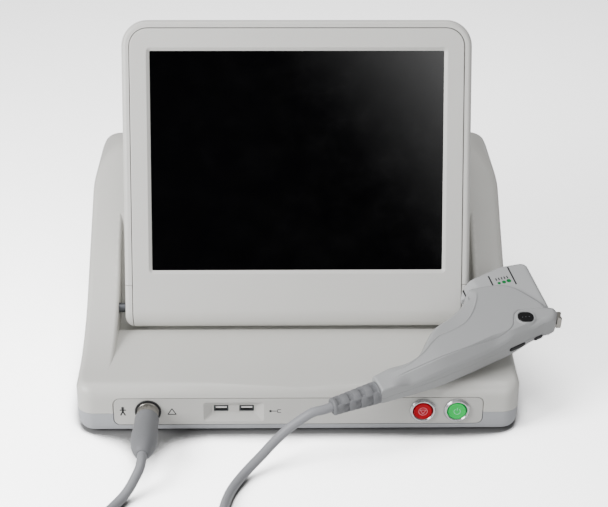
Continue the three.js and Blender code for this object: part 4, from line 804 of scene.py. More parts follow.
# %% Buttons
DISH, SIGN_LINE = -2.35, 0.5
RING = [(9.45, 20), (9.45, -1.6), (10.7, -3.0), (11.6, -3.0), (13.3, -1.2), (13.3, 0.0),
        (TUBE_RADIUS, 0.0), (TUBE_RADIUS, 20)]
RING_RADII = [0.1, 0.4, 0.5, 0.5, 0.8, 0.1, 0.1, 0.1]
CAP = [(0, DISH), (6.6, DISH), (7.6, -2.75), (9.05, -2.6), (9.05, 9.6), (0, 9.6)]
stop_at, power_at = np.array([STOP_X, CONTROL_Z]), np.array([POWER_X, CONTROL_Z])
stop_sign = [circle(*stop_at, 4.3, 48, 0, 359.9), stop_at + [(-3.1, 1.7), (3.1, 1.7)],
             stop_at + [(-2.9, 1.7), (0, -3.0)], stop_at + [(0, -3.0), (2.9, 1.7)]]
power_sign = [circle(POWER_X, CONTROL_Z - 0.3, 3.2, 36, 125, 415), power_at + [(0, 0.6), (0, 4.0)]]
BUTTON_LOOKS = (("stop", STOP_X, "red_cap", stop_sign), ("power", POWER_X, "green_cap", power_sign))
for name, x, slot, sign in BUTTON_LOOKS:
    ring = lathe(f"{name}_bezel", RING, RING_RADII, x, CONTROL_Z, 96, steps=4, closed=True)
    finish_piece(ring, "console", "chrome_ring", f"{name}_ring")
    cap = lathe(f"{name}_face", CAP, [0, 2.0, 0.6, 0.7, 0.2, 0], x, CONTROL_Z, 96, steps=5)
    finish_piece(cap, f"{name}_button", slot, f"{name}_cap")
    strokes = [stroke(line, SIGN_LINE) for line in sign]
    printed(f"{name}_sign", strokes, DISH, f"{name}_button", "white_plastic")

# %% [markdown]
# ## The display housing
#
# A flat slab hangs from the hinge line: its lower end is a half round barrel about the hinge, its top
# corners are generous and all its outer edges are softened. The rear shell wraps round to the front
# as a narrow rim, and the bezel lies inside that rim with a fine dark groove between them. Slices at
# levels from face to back give the slab; in each the outline shrinks by the edge's quarter circle
# while its lower side follows the barrel.

# %% The slab
DISPLAY_HALF, DISPLAY_TOP, BARREL = 180.8, 301.6, 20.0
SIDE_SEAM, HALF_SEAM, SHELL_WALL = 26.5, 0.25, 3.0


def slab_rings(inset, edge=5.0, step=2.5):
    """Levels follow the barrel's angle, so its round comes out even."""
    r = BARREL - inset
    edge = max(edge - inset, 1.2)
    rings = []
    for angle in np.radians(np.arange(0, 180 + step / 2, step)):
        y = -r * math.cos(angle)
        into = min(max(abs(y) - (r - edge), 0), edge)
        e = edge - math.sqrt(edge * edge - into * into)
        low = -math.sqrt(max(r * r - y * y, 0))
        low_corner = 1 + (8 - inset) * math.sin(angle)
        high = 27 - inset - e
        half, top = DISPLAY_HALF - inset - e, DISPLAY_TOP - inset - e
        loop = rounded_rect(-half, low, half, top, [low_corner, low_corner, high, high], 14)
        rings.append(np.column_stack([loop[:, 0], np.full(len(loop), y), loop[:, 1]]))
    return np.stack(rings)


BEZEL_HALF, BEZEL_TOP, BEZEL_UNDER = 172.5, 293.3, BARREL * math.radians(76)
SCREEN_Z, SCREEN_X, SCREEN_TALL = 156.2, 152.05, 114.05


def wrapped(points):
    """(x, along, depth) to display millimetres: flat above the hinge line, round the barrel below it."""
    x, s, depth = np.moveaxis(np.asarray(points, float), -1, 0)
    r = BARREL - depth
    a = np.maximum(-s, 0) / BARREL
    return on_display(np.stack([x, -r * np.cos(a), np.where(s < 0, -r * np.sin(a), s)], -1))


def bezel_outline(inset):
    """The bezel laid flat: square low corners and generous upper ones."""
    low, high = max(4 - inset, 0.3), max(18.7 - inset, 0.3)
    return dense_rect(-BEZEL_HALF + inset, -BEZEL_UNDER + inset, BEZEL_HALF - inset, BEZEL_TOP - inset,
                      [low, low, high, high])


def opening_outline(inset):
    """The screen's opening, with nearly square corners."""
    return dense_rect(-SCREEN_X + inset, SCREEN_Z - SCREEN_TALL + inset, SCREEN_X - inset,
                      SCREEN_Z + SCREEN_TALL - inset, max(1.2 - inset, 0.3))


def pocket_cutter(gap=0.75):
    """The bezel's shape, grown a little: rings widen from a speck to its outline and back behind."""
    speck = dense_rect(-1, 148, 1, 152, 0.3)
    wide = bezel_outline(-gap)
    rings = []
    for depth, shares in ((-2.0, np.linspace(0, 1, 26)), (3.7, np.linspace(1, 0, 26))):
        for share in shares:
            loop = speck * (1 - share) + wide * share
            rings.append(np.column_stack([loop, np.full(len(loop), depth)]))
    return skin("cutter", np.stack(rings), wrapped, 50)


big = 400
above = box((-big, -big, SIDE_SEAM - HALF_SEAM), (big, big, big), on_display)
below = box((-big, -big, -big), (big, big, SIDE_SEAM + HALF_SEAM), on_display)
rear = skin("display_back", slab_rings(0), on_display, 40)
cut(rear, skin("cutter", slab_rings(SHELL_WALL), on_display), pocket_cutter(), below)
low_shell = skin("display_low", slab_rings(0), on_display, 40)
cut(low_shell, skin("cutter", slab_rings(SHELL_WALL), on_display), pocket_cutter(), above,
    across_x(circle(0, 0, 5.3, 32), -200, 200, on_display))
finish_piece(rear, "display", "bezel_plastic", "display_rear_shell")
finish_piece(low_shell, "display", "bezel_plastic", "display_lower_shell")

# %% The bezel
shares = np.linspace(0, 1, 26)
chamfer = [(0, 2.5), (0.05, 2.42), (3.1, 0.25), (3.5, 0.05), (3.9, 0.0)]


def bezel_rings(edge=0.9):
    """Out of the opening over its chamfer, across the face, round the outer edge and back behind."""
    rings = [level_ring(opening_outline, -grow, depth) for grow, depth in [(0, 3.0), *chamfer]]
    face, rim = level_ring(opening_outline, -3.9, 0), level_ring(bezel_outline, edge, 0)
    rings += [face * (1 - share) + rim * share for share in shares[1:]]
    rings += [level_ring(bezel_outline, edge * (1 - math.sin(k)), edge * (1 - math.cos(k)))
              for k in np.linspace(0, math.pi / 2, 6)[1:]]
    mouth, rim = level_ring(opening_outline, 0, 3.0), level_ring(bezel_outline, 0, 3.0)
    rings += [mouth * (1 - share) + rim * share for share in shares[:0:-1]]
    return np.stack(rings)


bezel = skin("bezel", bezel_rings(), wrapped, 35, closed=True)
finish_piece(bezel, "display", "bezel_plastic", "display_bezel")

# %% [markdown]
# ## The handpiece
#
# The body is two half shells that meet on a flat parting plane. Its outline is drawn in that plane:
# a finger side that dips and swells, a blunt head, a nose and a nearly straight under side. Chords
# join the finger side to the under side at matching shares of their lengths, and the height over each
# point is a formula of its distance to the outline: full thickness in the middle, a quarter circle at
# the rim, and the styling on top of it: a band that falls away along the finger side behind a fine
# ridge, and a lower panel, bounded by a crease, that holds the black oval window.

# %% The handpiece's outline
HEAD_U, HEAD_V = 187.5, 90.0
finger = flowing([(-4.6, 10.8), (14.5, 22.6), (40, 35.5), (51, 57), (58, 71.5), (65, 80), (76, 89.5),
                  (90.5, 106), (97, 120.5)], 0.5)
head = flowing([(97, 120.5), (101.5, 126), (113, 129.5), (133, 133), (146, 129.5), (161.5, 117),
                (HEAD_U - 10.5, HEAD_V + 11.2)], 0.5)
nose = flowing([(HEAD_U - 10.5, HEAD_V + 11.2), (HEAD_U - 2.0, HEAD_V + 9), (HEAD_U, HEAD_V + 1),
                (HEAD_U - 3.5, HEAD_V - 6), (HEAD_U - 15.5, HEAD_V - 11)], 0.5)
under = flowing([(HEAD_U - 15.5, HEAD_V - 11), (128, 54), (96, 35.5), (57, 14.5), (26, 0), (3.9, -9.2)], 0.5)
tip = int(np.argmax(nose[:, 0]))
far_side = np.vstack([finger, head[1:], nose[1:tip + 1]])
near_side = np.vstack([nose[tip:], under[1:]])[::-1]
low_line = np.vstack([nose, under[1:]])
cuff = np.array([math.cos(RELIEF_ANGLE), math.sin(RELIEF_ANGLE)])


def nearest(points, line):
    """Least distance from each point to a line of close points, signed: positive on the line's right hand."""
    line = line[::2]
    way = np.gradient(line, axis=0)
    found = []
    for block in np.array_split(points, max(len(points) // 4000, 1)):
        gap = block[:, None] - line[None]
        which = (gap ** 2).sum(-1).argmin(1)
        g, w = gap[np.arange(len(block)), which], way[which]
        found.append(np.where(w[:, 1] * g[:, 0] - w[:, 0] * g[:, 1] > 0, 1, -1) * np.hypot(g[:, 0], g[:, 1]))
    return np.concatenate(found)


def grip_scale(points, least):
    """The grip is thinner, least, where the strain relief joins and thickens smoothly towards the head."""
    return (least + (HAND_HALF - least) * ease((points @ cuff) / 78)) / HAND_HALF


def quarter(distance, radius):
    """How much a quarter circle rim has dropped at a distance from the edge."""
    into = np.clip(radius - distance, 0, radius)
    return radius - np.sqrt(radius ** 2 - into ** 2)


print(f"far side {len(far_side)} points, near side {len(near_side)} points")

# %% Styling lines on the top face
crease = flowing([(6, -1), (22, 9.8), (45.2, 21), (92.5, 43.6), (115.3, 54.6), (130, 62.5), (136.5, 68.0),
                  (140.3, 74.5), (141.6, 83), (143.8, 90.5), (148, 94.6), (156, 96.2), (166, 97.2),
                  (183, 99.2)], 0.5)
ridge = flowing([(16, 13.5), (29.4, 20.9), (46.2, 35.5), (56.4, 49.6), (63.5, 57.6), (75, 64), (90.8, 75.8),
                 (100.5, 91.4), (106.1, 109.7), (108.2, 126)], 0.5)
OVAL, OVAL_HALF, OVAL_CORNER = np.array([154.2, 84.2]), np.array([8.2, 7.3]), 6.4
BAND_FALL, RIDGE_RISE, RIDGE_WIDTH = 5.6, 0.85, 0.8
FACET_FALL, FACET_WIDTH, FACET_SHALLOWS, FACET_NARROWS = 10.5, 9.0, 4.0, 3.2
CREASE_STEP, CREASE_GROOVE, CREASE_WIDTH = 0.6, 0.4, 0.55
OVAL_RISE, OVAL_RIM = 0.9, 2.0
oval_outline = rect_outline(*(OVAL - OVAL_HALF), *(OVAL + OVAL_HALF), OVAL_CORNER, 10, shrink=1)


def top_height(points):
    """Full thickness less the band, facet, crease and rims, plus the ridge and the oval's rim."""
    scale, along = grip_scale(points, 12.6), points @ cuff
    to_finger, to_head, to_low = (np.abs(nearest(points, line)) for line in (finger, head, low_line))
    beyond = -nearest(points, ridge)
    fade = ease((along - 14) / 24) * (1 - ease((points[:, 1] - 112) / 12))
    share = np.clip(beyond / np.maximum(beyond + to_finger, 0.1), 0, 1)
    height = HAND_HALF * scale - fade * BAND_FALL * scale * share ** 1.3
    height = height + fade * RIDGE_RISE * np.exp(-(beyond / RIDGE_WIDTH) ** 2)
    past, begin = nearest(points, crease), ease((along - 12) / 22)
    nearer = ease((points[:, 0] - 118) / 24)
    width = FACET_WIDTH - FACET_NARROWS * nearer
    fall = (FACET_FALL - FACET_SHALLOWS * nearer) * (1 - ease((points[:, 0] - 156) / 22))
    height = height - begin * fall * scale * np.clip(1 - to_low / width, 0, 1)
    groove = CREASE_GROOVE * np.exp(-((past - 0.2) / CREASE_WIDTH) ** 2)
    height = height - begin * (CREASE_STEP * ease(past + 0.5) + groove)
    height = height - quarter(to_finger, 5.5 * scale) - quarter(to_head, 3.6)
    height = height - quarter(to_low, 2.6 * scale + 3.0 * ease((points[:, 0] - 158) / 24))
    around = np.hypot(*np.maximum(np.abs(points - OVAL) - (OVAL_HALF - OVAL_CORNER), 0).T) - OVAL_CORNER
    return height + OVAL_RISE * ease((OVAL_RIM - around) / 0.7)


def bottom_height(points):
    """Depth of the lower skin: the same outline with rounder edges, thinning towards the nose."""
    scale = grip_scale(points, 10.8)
    to_far = np.abs(nearest(points, np.vstack([finger, head[1:]])))
    to_near = np.abs(nearest(points, low_line))
    depth = HAND_HALF * scale - 11.5 * ease((points[:, 0] - 132) / 50)
    far_rim, near_rim = (np.minimum(radius * scale, depth - 2) for radius in (8.0, 11.0))
    return depth - quarter(to_far, far_rim) - quarter(to_near, near_rim)


# %% Skinning the two halves
def chords(stations, columns, inset=0.0):
    """Points on chords from the far side to the near side, crowded a little towards the ends."""
    share = np.linspace(0, 0.994, stations)
    far, near = evenly(far_side, share), evenly(near_side, share)
    if inset:
        middle, size = (far + near) / 2, np.linalg.norm(far - near, axis=1, keepdims=True)
        pull = np.clip(1 - 2 * inset / np.maximum(size, 1e-6), 0.05, 1)
        far, near = middle + (far - middle) * pull, middle + (near - middle) * pull
    t = np.linspace(0, 1, columns)
    s = 0.5 * t + 0.25 * (1 - np.cos(math.pi * t))
    return far[:, None] + (near - far)[:, None] * s[None, :, None]


def half_shell(name, height_of, sign, gap, stations, columns, wall=5):
    """Rings that climb the far wall, cross the skin and come down the near wall."""
    plane = chords(stations, columns)
    flat = plane.reshape(-1, 2)
    height = height_of(flat) - 0.8 * quarter(np.maximum(flat @ cuff - 0.2, 0), 2.2)
    height = height.reshape(plane.shape[:2])
    rise = np.linspace(0, 1, wall + 1)[:-1]
    far_wall = gap + (height[:, :1] - gap) * rise
    near_wall = (gap + (height[:, -1:] - gap) * rise)[:, ::-1]
    n = np.concatenate([far_wall, height, near_wall], 1)
    uv = np.concatenate([np.repeat(plane[:, :1], wall, 1), plane, np.repeat(plane[:, -1:], wall, 1)], 1)
    return skin(name, np.concatenate([uv, sign * n[..., None]], -1), on_hand, 50)


def inner_solid(height_of, sign, wall=3.6):
    """What the shell leaves free inside, a wall's thickness in from everywhere."""
    plane = chords(120, 30, wall)[5:-4]
    height = np.maximum((height_of(plane.reshape(-1, 2)) - wall).reshape(plane.shape[:2]), 1.0)
    sunk = np.full((len(plane), 1), -2.0)
    n = np.concatenate([sunk, height, sunk], 1)
    uv = np.concatenate([plane[:, :1], plane, plane[:, -1:]], 1)
    return skin("cutter", np.concatenate([uv, sign * n[..., None]], -1), on_hand, 50)


HALF_PARTING = 0.15
upper = half_shell("hand_upper", top_height, 1, HALF_PARTING, 360, 170)
lower = half_shell("hand_lower", bottom_height, -1, HALF_PARTING, 240, 70)
print("upper", len(upper.data.polygons), "lower", len(lower.data.polygons))

# %% Cuts in the handpiece
SLOT_FLOOR, SLOT_LEFT = 102.0, 99.5
CARTRIDGE_HALF, PLAY = 16.0, 0.4
BUTTONS = (("rear", 0.40, 9.5), ("front", 0.92, 5.2))
BUTTON_DROP, BUTTON_TALL = 3.8, 2.2
LATCH = np.array([HEAD_U - 6, HEAD_V + 2])
under_start, under_end = np.array([128.0, 54.0]), np.array([HEAD_U - 15.5, HEAD_V - 11.0])
under_angle = math.atan2(*(under_end - under_start)[::-1])


def on_under(share):
    """(along, n, depth) drawn on the under side, at a share of its straight length."""
    c, s = math.cos(under_angle), math.sin(under_angle)
    at = under_start + (under_end - under_start) * share

    def place(points):
        along, n, depth = np.moveaxis(np.asarray(points, float), -1, 0)
        return on_hand(np.stack([at[0] + along * c - depth * s, at[1] + along * s + depth * c, n], -1))
    return place


def button_outline(half):
    """A side key's outline."""
    return rect_outline(-half, -BUTTON_DROP - BUTTON_TALL, half, -BUTTON_DROP + BUTTON_TALL, 2.0, 6)


def latch_slot():
    """Room for the lever to swing."""
    return box((LATCH[0] - 5, LATCH[1] - 4.4, -3), (LATCH[0] + 14, LATCH[1] + 7.4, 3), on_hand)


top = HAND_HALF
slot_left, slot_floor, slot_half = SLOT_LEFT - PLAY, SLOT_FLOOR - PLAY, CARTRIDGE_HALF + PLAY
cut(upper, inner_solid(top_height, 1), box((slot_left, slot_floor, -30), (400, 400, slot_half), on_hand),
    flared(oval_outline, [(0, top - 1.2), (0, top - 0.1), (0.4, top + 0.4), (0.5, top + 3)], on_hand),
    latch_slot(), sharp=45)
cut(lower, inner_solid(bottom_height, -1), box((slot_left, slot_floor, -slot_half), (400, 400, 30), on_hand),
    latch_slot(),
    *[flared(button_outline(half), [(PLAY, -8), (PLAY, 8)], on_under(share)) for _, share, half in BUTTONS],
    sharp=45)
finish_piece(upper, "handset", "handset_plastic", "handset_upper_shell")
finish_piece(lower, "handset", "handset_plastic", "handset_lower_shell")

# %% [markdown]
# ## Window, keys and latch
#
# A smoked oval lens sits in the lower panel; two soft keys lie along the under side; and a small
# bright lever at the nose lets the cartridge go.

# %% Small parts of the handpiece
lens_grid = moulded(lambda inset: oval_outline(0.3 + inset), top - 1.0, top + 0.1, 0.1, 3, 0.6)
lens = skin("oval_lens", lens_grid, on_hand, 40)
finish_piece(lens, "handset", "smoked_window", "side_window")
for name, share, half in BUTTONS:
    key = skin(f"key_{name}", moulded(button_outline(half), -1.1, 5, 0.9, 4, 0.2), on_under(share), 40)
    finish_piece(key, f"{name}_trigger", "black_plastic", f"handset_button_{name}")


def latch_outline(x0, y0, x1, y1, radius):
    """A rounded block of the lever, measured from its pivot."""
    return rect_outline(LATCH[0] + x0, LATCH[1] + y0, LATCH[0] + x1, LATCH[1] + y1, radius)


latch = skin("latch", moulded(latch_outline(6, -2.5, 11.8, 8.6, 1.6), -3.6, 10.5, 1.2, 4), on_hand, 40)
arm = moulded(latch_outline(-2.6, -2.6, 8, 2.6, 2.5), -2.6, 2.6, 0.4)
pin = moulded(round_outline(*LATCH, 1.5, 24), -14, 14, 0.2)
thumb = moulded(round_outline(LATCH[0] + 15.2, LATCH[1] + 3.0, 5.0, 48), -5, 12, 0.1)
join(latch, *[skin("cutter", grid, on_hand) for grid in (arm, pin)])
cut(latch, skin("cutter", thumb, on_hand), sharp=30)
finish_piece(latch, "latch", "plain_aluminium", "latch_lever")

# %% [markdown]
# ## The cartridge
#
# The treatment head is a replaceable box that slides in from the nose. It is one rounded block with a
# slanting end, and its left side thins to a soft edge. Three black guide lines, a row of small ticks
# and three green dots are printed on its face.

# %% Cartridge
CART_ANGLE = math.radians(103.5)
along_axis = np.array([math.cos(CART_ANGLE), math.sin(CART_ANGLE)])
across_axis = np.array([math.sin(CART_ANGLE), -math.cos(CART_ANGLE)])
CART_LEFT, CART_RIGHT, CART_START, CART_END = 120.3, 200.3, 54.0, 127.5
CART_THIN, CART_SLANT, SLANT_FROM = 121.5, 15.8, 171.0
EDGE_OVER, EDGE_UNDER, SHOULDER = 0.22, 0.16, 0.06
window_outline = rect_outline(158.0, -10, 186.0, 10, 1.5)


def thinning(across, n):
    """Thickness share: a slope and a round shoulder at the left; longer below, where the display is near."""
    over = EDGE_OVER + (1 - EDGE_OVER) * (across - CART_LEFT) / 15.0
    over = 1 - SHOULDER * np.logaddexp(0, (1 - over) / SHOULDER)
    under = EDGE_UNDER + (1 - EDGE_UNDER) * np.sin(np.clip((across - CART_THIN) / 32, 0, 1) * math.pi / 2)
    return np.clip(np.where(n > 0, over, under), 0.1, 1)


def plain_cartridge(points):
    """(across, along, n) to the handpiece's plane."""
    a, l, n = np.moveaxis(np.asarray(points, float), -1, 0)
    return on_hand(np.concatenate([a[..., None] * across_axis + l[..., None] * along_axis, n[..., None]], -1))


def on_cartridge(points):
    """The same, with every height thinned towards the left edge."""
    a, l, n = np.moveaxis(np.asarray(points, float), -1, 0)
    return plain_cartridge(np.stack([a, l, n * thinning(a, n)], -1))


def end_on(points):
    """(across, n, along) for openings in the cartridge's end."""
    return plain_cartridge(np.asarray(points)[..., [0, 2, 1]])


cart_corners = [(CART_LEFT, CART_START), (CART_RIGHT, CART_START), (CART_RIGHT, CART_END),
                (SLANT_FROM, CART_END), (CART_LEFT, CART_END - CART_SLANT)]
cart_loop = rounded(cart_corners, [7, 7, 8, 30, 20], 20)
cart_loop = evenly(np.vstack([cart_loop, cart_loop[:1]]), 0.8)[:-1]
cart_way = np.roll(cart_loop, -1, axis=0) - np.roll(cart_loop, 1, axis=0)
cart_in = np.column_stack([-cart_way[:, 1], cart_way[:, 0]]) / np.linalg.norm(cart_way, axis=1, keepdims=True)


def cartridge_outline(inset):
    """The block seen on its face, its end slanting down to one large corner; normals set it in."""
    return cart_loop + cart_in * inset


def cartridge_rings(edge=5.0):
    """Faces of nested loops joined by quarter circle rims, so the thinning bends the whole face."""
    centre = np.array([164.0, 84.0, 0])
    rim = level_ring(cartridge_outline, edge, -CARTRIDGE_HALF)
    lower_half = [centre * (1 - share) + rim * share for share in np.linspace(0.02, 1, 22)]
    for ring in lower_half:
        ring[:, 2] = -CARTRIDGE_HALF
    for k in np.linspace(0, math.pi / 2, 7)[1:]:
        height = -CARTRIDGE_HALF + edge * (1 - math.cos(k))
        lower_half.append(level_ring(cartridge_outline, edge * (1 - math.sin(k)), height))
    return np.stack(lower_half + [ring * [1, 1, -1] for ring in lower_half[::-1]])


cartridge = skin("cartridge", cartridge_rings(), on_cartridge, 50)
head_line = np.vstack([finger[-40:], head])
slot_top = float(np.interp(SLOT_LEFT, head_line[:, 0], head_line[:, 1]))
room = join(box((SLOT_LEFT, SLOT_FLOOR, -40), (500, 500, 40), on_hand),
            box((-100, slot_top + PLAY, -41), (501, 501, 41), on_hand))
keep_inside(cartridge, room, sharp=50)
cavity = moulded(rect_outline(158, 78, 191, CART_END - 9.5, 2), -10, 10, 0.1)
cut(cartridge,
    flared(window_outline, [(0.3, CART_END - 6.4), (0.3, CART_END - 0.6), (1.0, CART_END + 1)], end_on),
    skin("cutter", cavity, plain_cartridge), sharp=45)
finish_piece(cartridge, "cartridge", "cartridge_plastic", "cartridge_case")
pane = skin("acoustic_pane", moulded(window_outline, CART_END - 6.0, CART_END - 4.5, 0.1, 2, 0.4), end_on, 40)
finish_piece(pane, "cartridge", "smoked_window", "cartridge_window")


# %% Prints on the cartridge and the lens
def on_cartridge_face(points):
    """(across, along, -height) for prints that lie on the cartridge's face."""
    a, l, n = np.moveaxis(np.asarray(points, float), -1, 0)
    return on_cartridge(np.stack([a, l, CARTRIDGE_HALF - n / thinning(a, 1.0)], -1))


def on_hand_face(points):
    """(u, v, -height) for prints on the handpiece's face."""
    return on_hand(np.asarray(points, float) * [1, 1, -1])


def long_line(at, start, end, width):
    """A printed line along the cartridge."""
    return stroke(np.column_stack([np.full(20, at), np.linspace(start, end, 20)]), width)


guides = [long_line(*line) for line in (
    (154.0, 98, 114.6, 1.6), (178.3, 96, 123.2, 1.6), (124.9, 98.6, 109.0, 1.3))]
ticks = [long_line(160.2 + 3.1 * k, 105.9 + 0.2 * k, 109.6 + 0.2 * k, 1.3) for k in range(5)]
printed("cartridge_lines", guides + ticks, 0.0, "cartridge", "black_plastic", 0.06, on_cartridge_face)
green = [disc(161.5, 101.9, 1.8), disc(166.9, 102.3, 2.2), disc(172.5, 103.0, 2.5)]
printed("cartridge_dots", green, 0.0, "cartridge", "green_cap", 0.06, on_cartridge_face)
dots = [disc(OVAL[0] + k * 3.4, OVAL[1] + 0.4 * k, 0.55) for k in (-1, 0, 1)]
printed("lens_dots", dots, -(top + 0.1), "handset", "white_plastic", 0.04, on_hand_face)

# %% [markdown]
# ## The strain relief
#
# A soft sleeve keeps the cord from kinking where it enters the grip. It tapers towards the cord, and
# slots are moulded into it alternately on top and at the sides. One surface does it all: the angle
# runs round, the length runs along, and the radius is a taper less a smooth pocket at each slot.

# %% Strain relief
RELIEF_PITCH, FIRST_SLOT, SLOT_DEPTH = 12.4, 4.8, 2.4
RELIEF_RADIUS, RELIEF_TAPER, RIPPLE = 10.9, 2.2, 0.35


def relief_radius(angle, s):
    """A taper less two sets of slots: on top and below at a wave's crests, at the sides in between."""
    taper = RELIEF_RADIUS - RELIEF_TAPER * ease(s / 46)
    wave = np.cos(2 * math.pi * (s - FIRST_SLOT) / RELIEF_PITCH)
    facing = np.cos(2 * angle)
    top_slot = ease((-facing - 0.05) / 0.5) * ease((wave - 0.05) / 0.4)
    slotted = (s > FIRST_SLOT) & (s < FIRST_SLOT + 3 * RELIEF_PITCH)
    side_slot = ease((facing - 0.05) / 0.5) * ease((-wave - 0.05) / 0.4) * slotted
    return taper - SLOT_DEPTH * (top_slot + side_slot) + RIPPLE * np.abs(wave)


lengths = np.linspace(0.4, RELIEF_LENGTH, 330)
lengths, angles = np.meshgrid(lengths, 2 * math.pi * np.arange(120) / 120, indexing="ij")
radius = relief_radius(angles, lengths) - quarter(RELIEF_LENGTH - lengths, 2.4)
side_axis = np.array([-cuff[1], cuff[0]])
grid = np.concatenate([-lengths[..., None] * cuff + (radius * np.cos(angles))[..., None] * side_axis,
                       (radius * np.sin(angles))[..., None]], -1)
relief = skin("relief", grid, on_hand, 60)
finish_piece(relief, "handset", "boot_rubber", "strain_relief")

# %% [markdown]
# ## Materials
#
# Off-white ABS is never one flat colour: it has a fine moulded grain, a slow drift of tone from dust
# and handling, and edges polished by hands. The grain is a very small noise that tilts the surface a
# little; the drift is a large soft noise on the colour; and the pointiness of the mesh lightens
# exposed edges. The same recipe with other numbers gives the grey strip, the handpiece and the rubber.

# %% Node helpers
def node_tools(tree):
    """Empties a node tree; gives a shortcut that adds a node, inputs set or linked, and one that links."""
    tree.nodes.clear()

    def node(kind, inputs=(), **settings):
        made = tree.nodes.new("ShaderNode" + kind)
        for key, value in settings.items():
            setattr(made, key, value)
        for key, value in dict(inputs).items():
            if isinstance(value, bpy.types.NodeSocket):
                tree.links.new(value, made.inputs[key])
            else:
                made.inputs[key].default_value = value
        return made

    return node, tree.links.new


def new_material(name):
    """An empty material with its two shortcuts and the input that its surface goes to."""
    material = bpy.data.materials.new(name)
    material.use_nodes = True
    node, link = node_tools(material.node_tree)
    return material, node, node("OutputMaterial").inputs["Surface"], link


def srgb(red, green, blue):
    """Screen values of 0 to 255 as the linear light that shaders work in."""
    c = np.array([red, green, blue]) / 255
    c = np.where(c <= 0.04045, c / 12.92, ((c + 0.055) / 1.055) ** 2.4)
    return (*c.tolist(), 1.0)


def surface(name, colour, roughness, metallic=0.0, grain=0.05, grain_scale=900.0, drift=0.04, wear=0.25,
            specular=0.5):
    """Grain on the normal, drift on colour and roughness, and lighter exposed edges."""
    material, node, out, link = new_material(name)
    place = node("TexCoord").outputs["Object"]
    fine = node("TexNoise", {"Vector": place, "Scale": grain_scale, "Detail": 3.0, "Roughness": 0.6})
    slow = node("TexNoise", {"Vector": place, "Scale": 9.0, "Detail": 4.0, "Roughness": 0.55})
    smudge = node("TexNoise", {"Vector": place, "Scale": 38.0, "Detail": 5.0, "Roughness": 0.65})
    dark = tuple(c * (1 - drift) for c in colour[:3]) + (1,)
    light = tuple(min(c * (1 + drift), 1) for c in colour[:3]) + (1,)
    toned = node("Mix", {0: slow.outputs["Fac"], 6: dark, 7: light}, data_type="RGBA")
    edge = node("MapRange", {0: node("NewGeometry").outputs["Pointiness"], 1: 0.52, 2: 0.62, 3: 0.0, 4: wear})
    bright = tuple(min(c * 1.25 + 0.02, 1) for c in colour[:3]) + (1,)
    worn = node("Mix", {0: edge.outputs[0], 6: toned.outputs[2], 7: bright}, data_type="RGBA")
    rough = node("MapRange", {0: smudge.outputs["Fac"], 1: 0.3, 2: 0.7, 3: max(roughness - 0.05, 0.02),
                              4: roughness + 0.06})
    bump = node("Bump", {"Strength": grain, "Distance": 0.0003, "Height": fine.outputs["Fac"]})
    shader = node("BsdfPrincipled", {
        "Base Color": worn.outputs[2], "Roughness": rough.outputs[0], "Metallic": metallic,
        "Normal": bump.outputs[0], "Specular IOR Level": specular})
    link(shader.outputs[0], out)
    return material


RECIPES = {
    "cover_plastic": ((214, 213, 208), 0.36, {"grain": 0.10}),
    "pan_plastic": ((176, 178, 182), 0.45, {"grain": 0.12}),
    "panel_plastic": ((205, 204, 200), 0.42, {"grain": 0.08}),
    "bezel_plastic": ((219, 218, 214), 0.36, {"grain": 0.08}),
    "handset_plastic": ((171, 172, 173), 0.38, {"grain": 0.08}),
    "cartridge_plastic": ((184, 185, 186), 0.33, {"grain": 0.05}),
    "foot_rubber": ((38, 38, 40), 0.85, {"grain": 0.5, "grain_scale": 700}),
    "boot_rubber": ((120, 121, 124), 0.55, {"grain": 0.25, "grain_scale": 1100, "drift": 0.06}),
    "cord_jacket": ((146, 147, 151), 0.45, {"grain": 0.2, "grain_scale": 1300, "drift": 0.05}),
    # zinc_steel is darker than bare steel: partly the plated metal's own tone, partly painted shade, so that
    # the hinge shaft reads as the shaded gap between the display and the wing
    "zinc_steel": ((104, 106, 110), 0.45, {"metallic": 1, "grain": 0.2, "grain_scale": 260, "drift": 0.1}),
    "plain_aluminium": ((160, 157, 152), 0.32, {"metallic": 1, "grain": 0.12, "drift": 0.06}),
    "chrome_ring": ((198, 198, 200), 0.27, {"metallic": 1, "grain": 0.03, "drift": 0.02}),
    "black_plastic": ((26, 26, 28), 0.42, {"grain": 0.2, "drift": 0.1, "wear": 0.1}),
    "white_plastic": ((232, 232, 228), 0.45, {"grain": 0.08}),
    "circuit_board": ((24, 92, 56), 0.45, {"grain": 0.5, "grain_scale": 420, "drift": 0.15}),
    "red_cap": ((196, 6, 30), 0.3, {"grain": 0.03, "wear": 0.1, "specular": 0.12}),
    "green_cap": ((0, 220, 96), 0.3, {"grain": 0.03, "wear": 0.1, "specular": 0.12}),
    "screen_glass": ((4, 4, 5), 0.05, {"grain": 0.0, "drift": 0.0, "wear": 0.0}),
    "smoked_window": ((10, 10, 12), 0.08, {"grain": 0.02, "wear": 0.0}),
    "stop_ink": ((240, 140, 160), 0.4, {"grain": 0.03}),
    "power_ink": ((150, 240, 200), 0.4, {"grain": 0.03}),
    "dot_ink": ((70, 72, 76), 0.4, {"grain": 0.03}),
    "green_ink": ((0, 118, 56), 0.45, {"grain": 0.03, "specular": 0.15}),
}
finishes = {name: surface(name, srgb(*tone), rough, **rest) for name, (tone, rough, rest) in RECIPES.items()}

# %% Dressing every piece
INKS = {"stop_sign": "stop_ink", "power_sign": "power_ink",
        "lens_dots": "dot_ink", "cartridge_dots": "green_ink"}
for obj in bpy.data.objects:
    if obj.type != "MESH" or obj.name.startswith("cutter"):
        continue
    if "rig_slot" in obj:
        obj.data.materials.clear()
        obj.data.materials.append(finishes[INKS.get(obj.name, obj["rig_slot"])])
        continue
    for slot in obj.material_slots:
        name = slot.material.name.split(".")[0] if slot.material else ""
        if name in finishes:
            slot.material = finishes[name]
        else:
            print("no finish for", obj.name, repr(name))

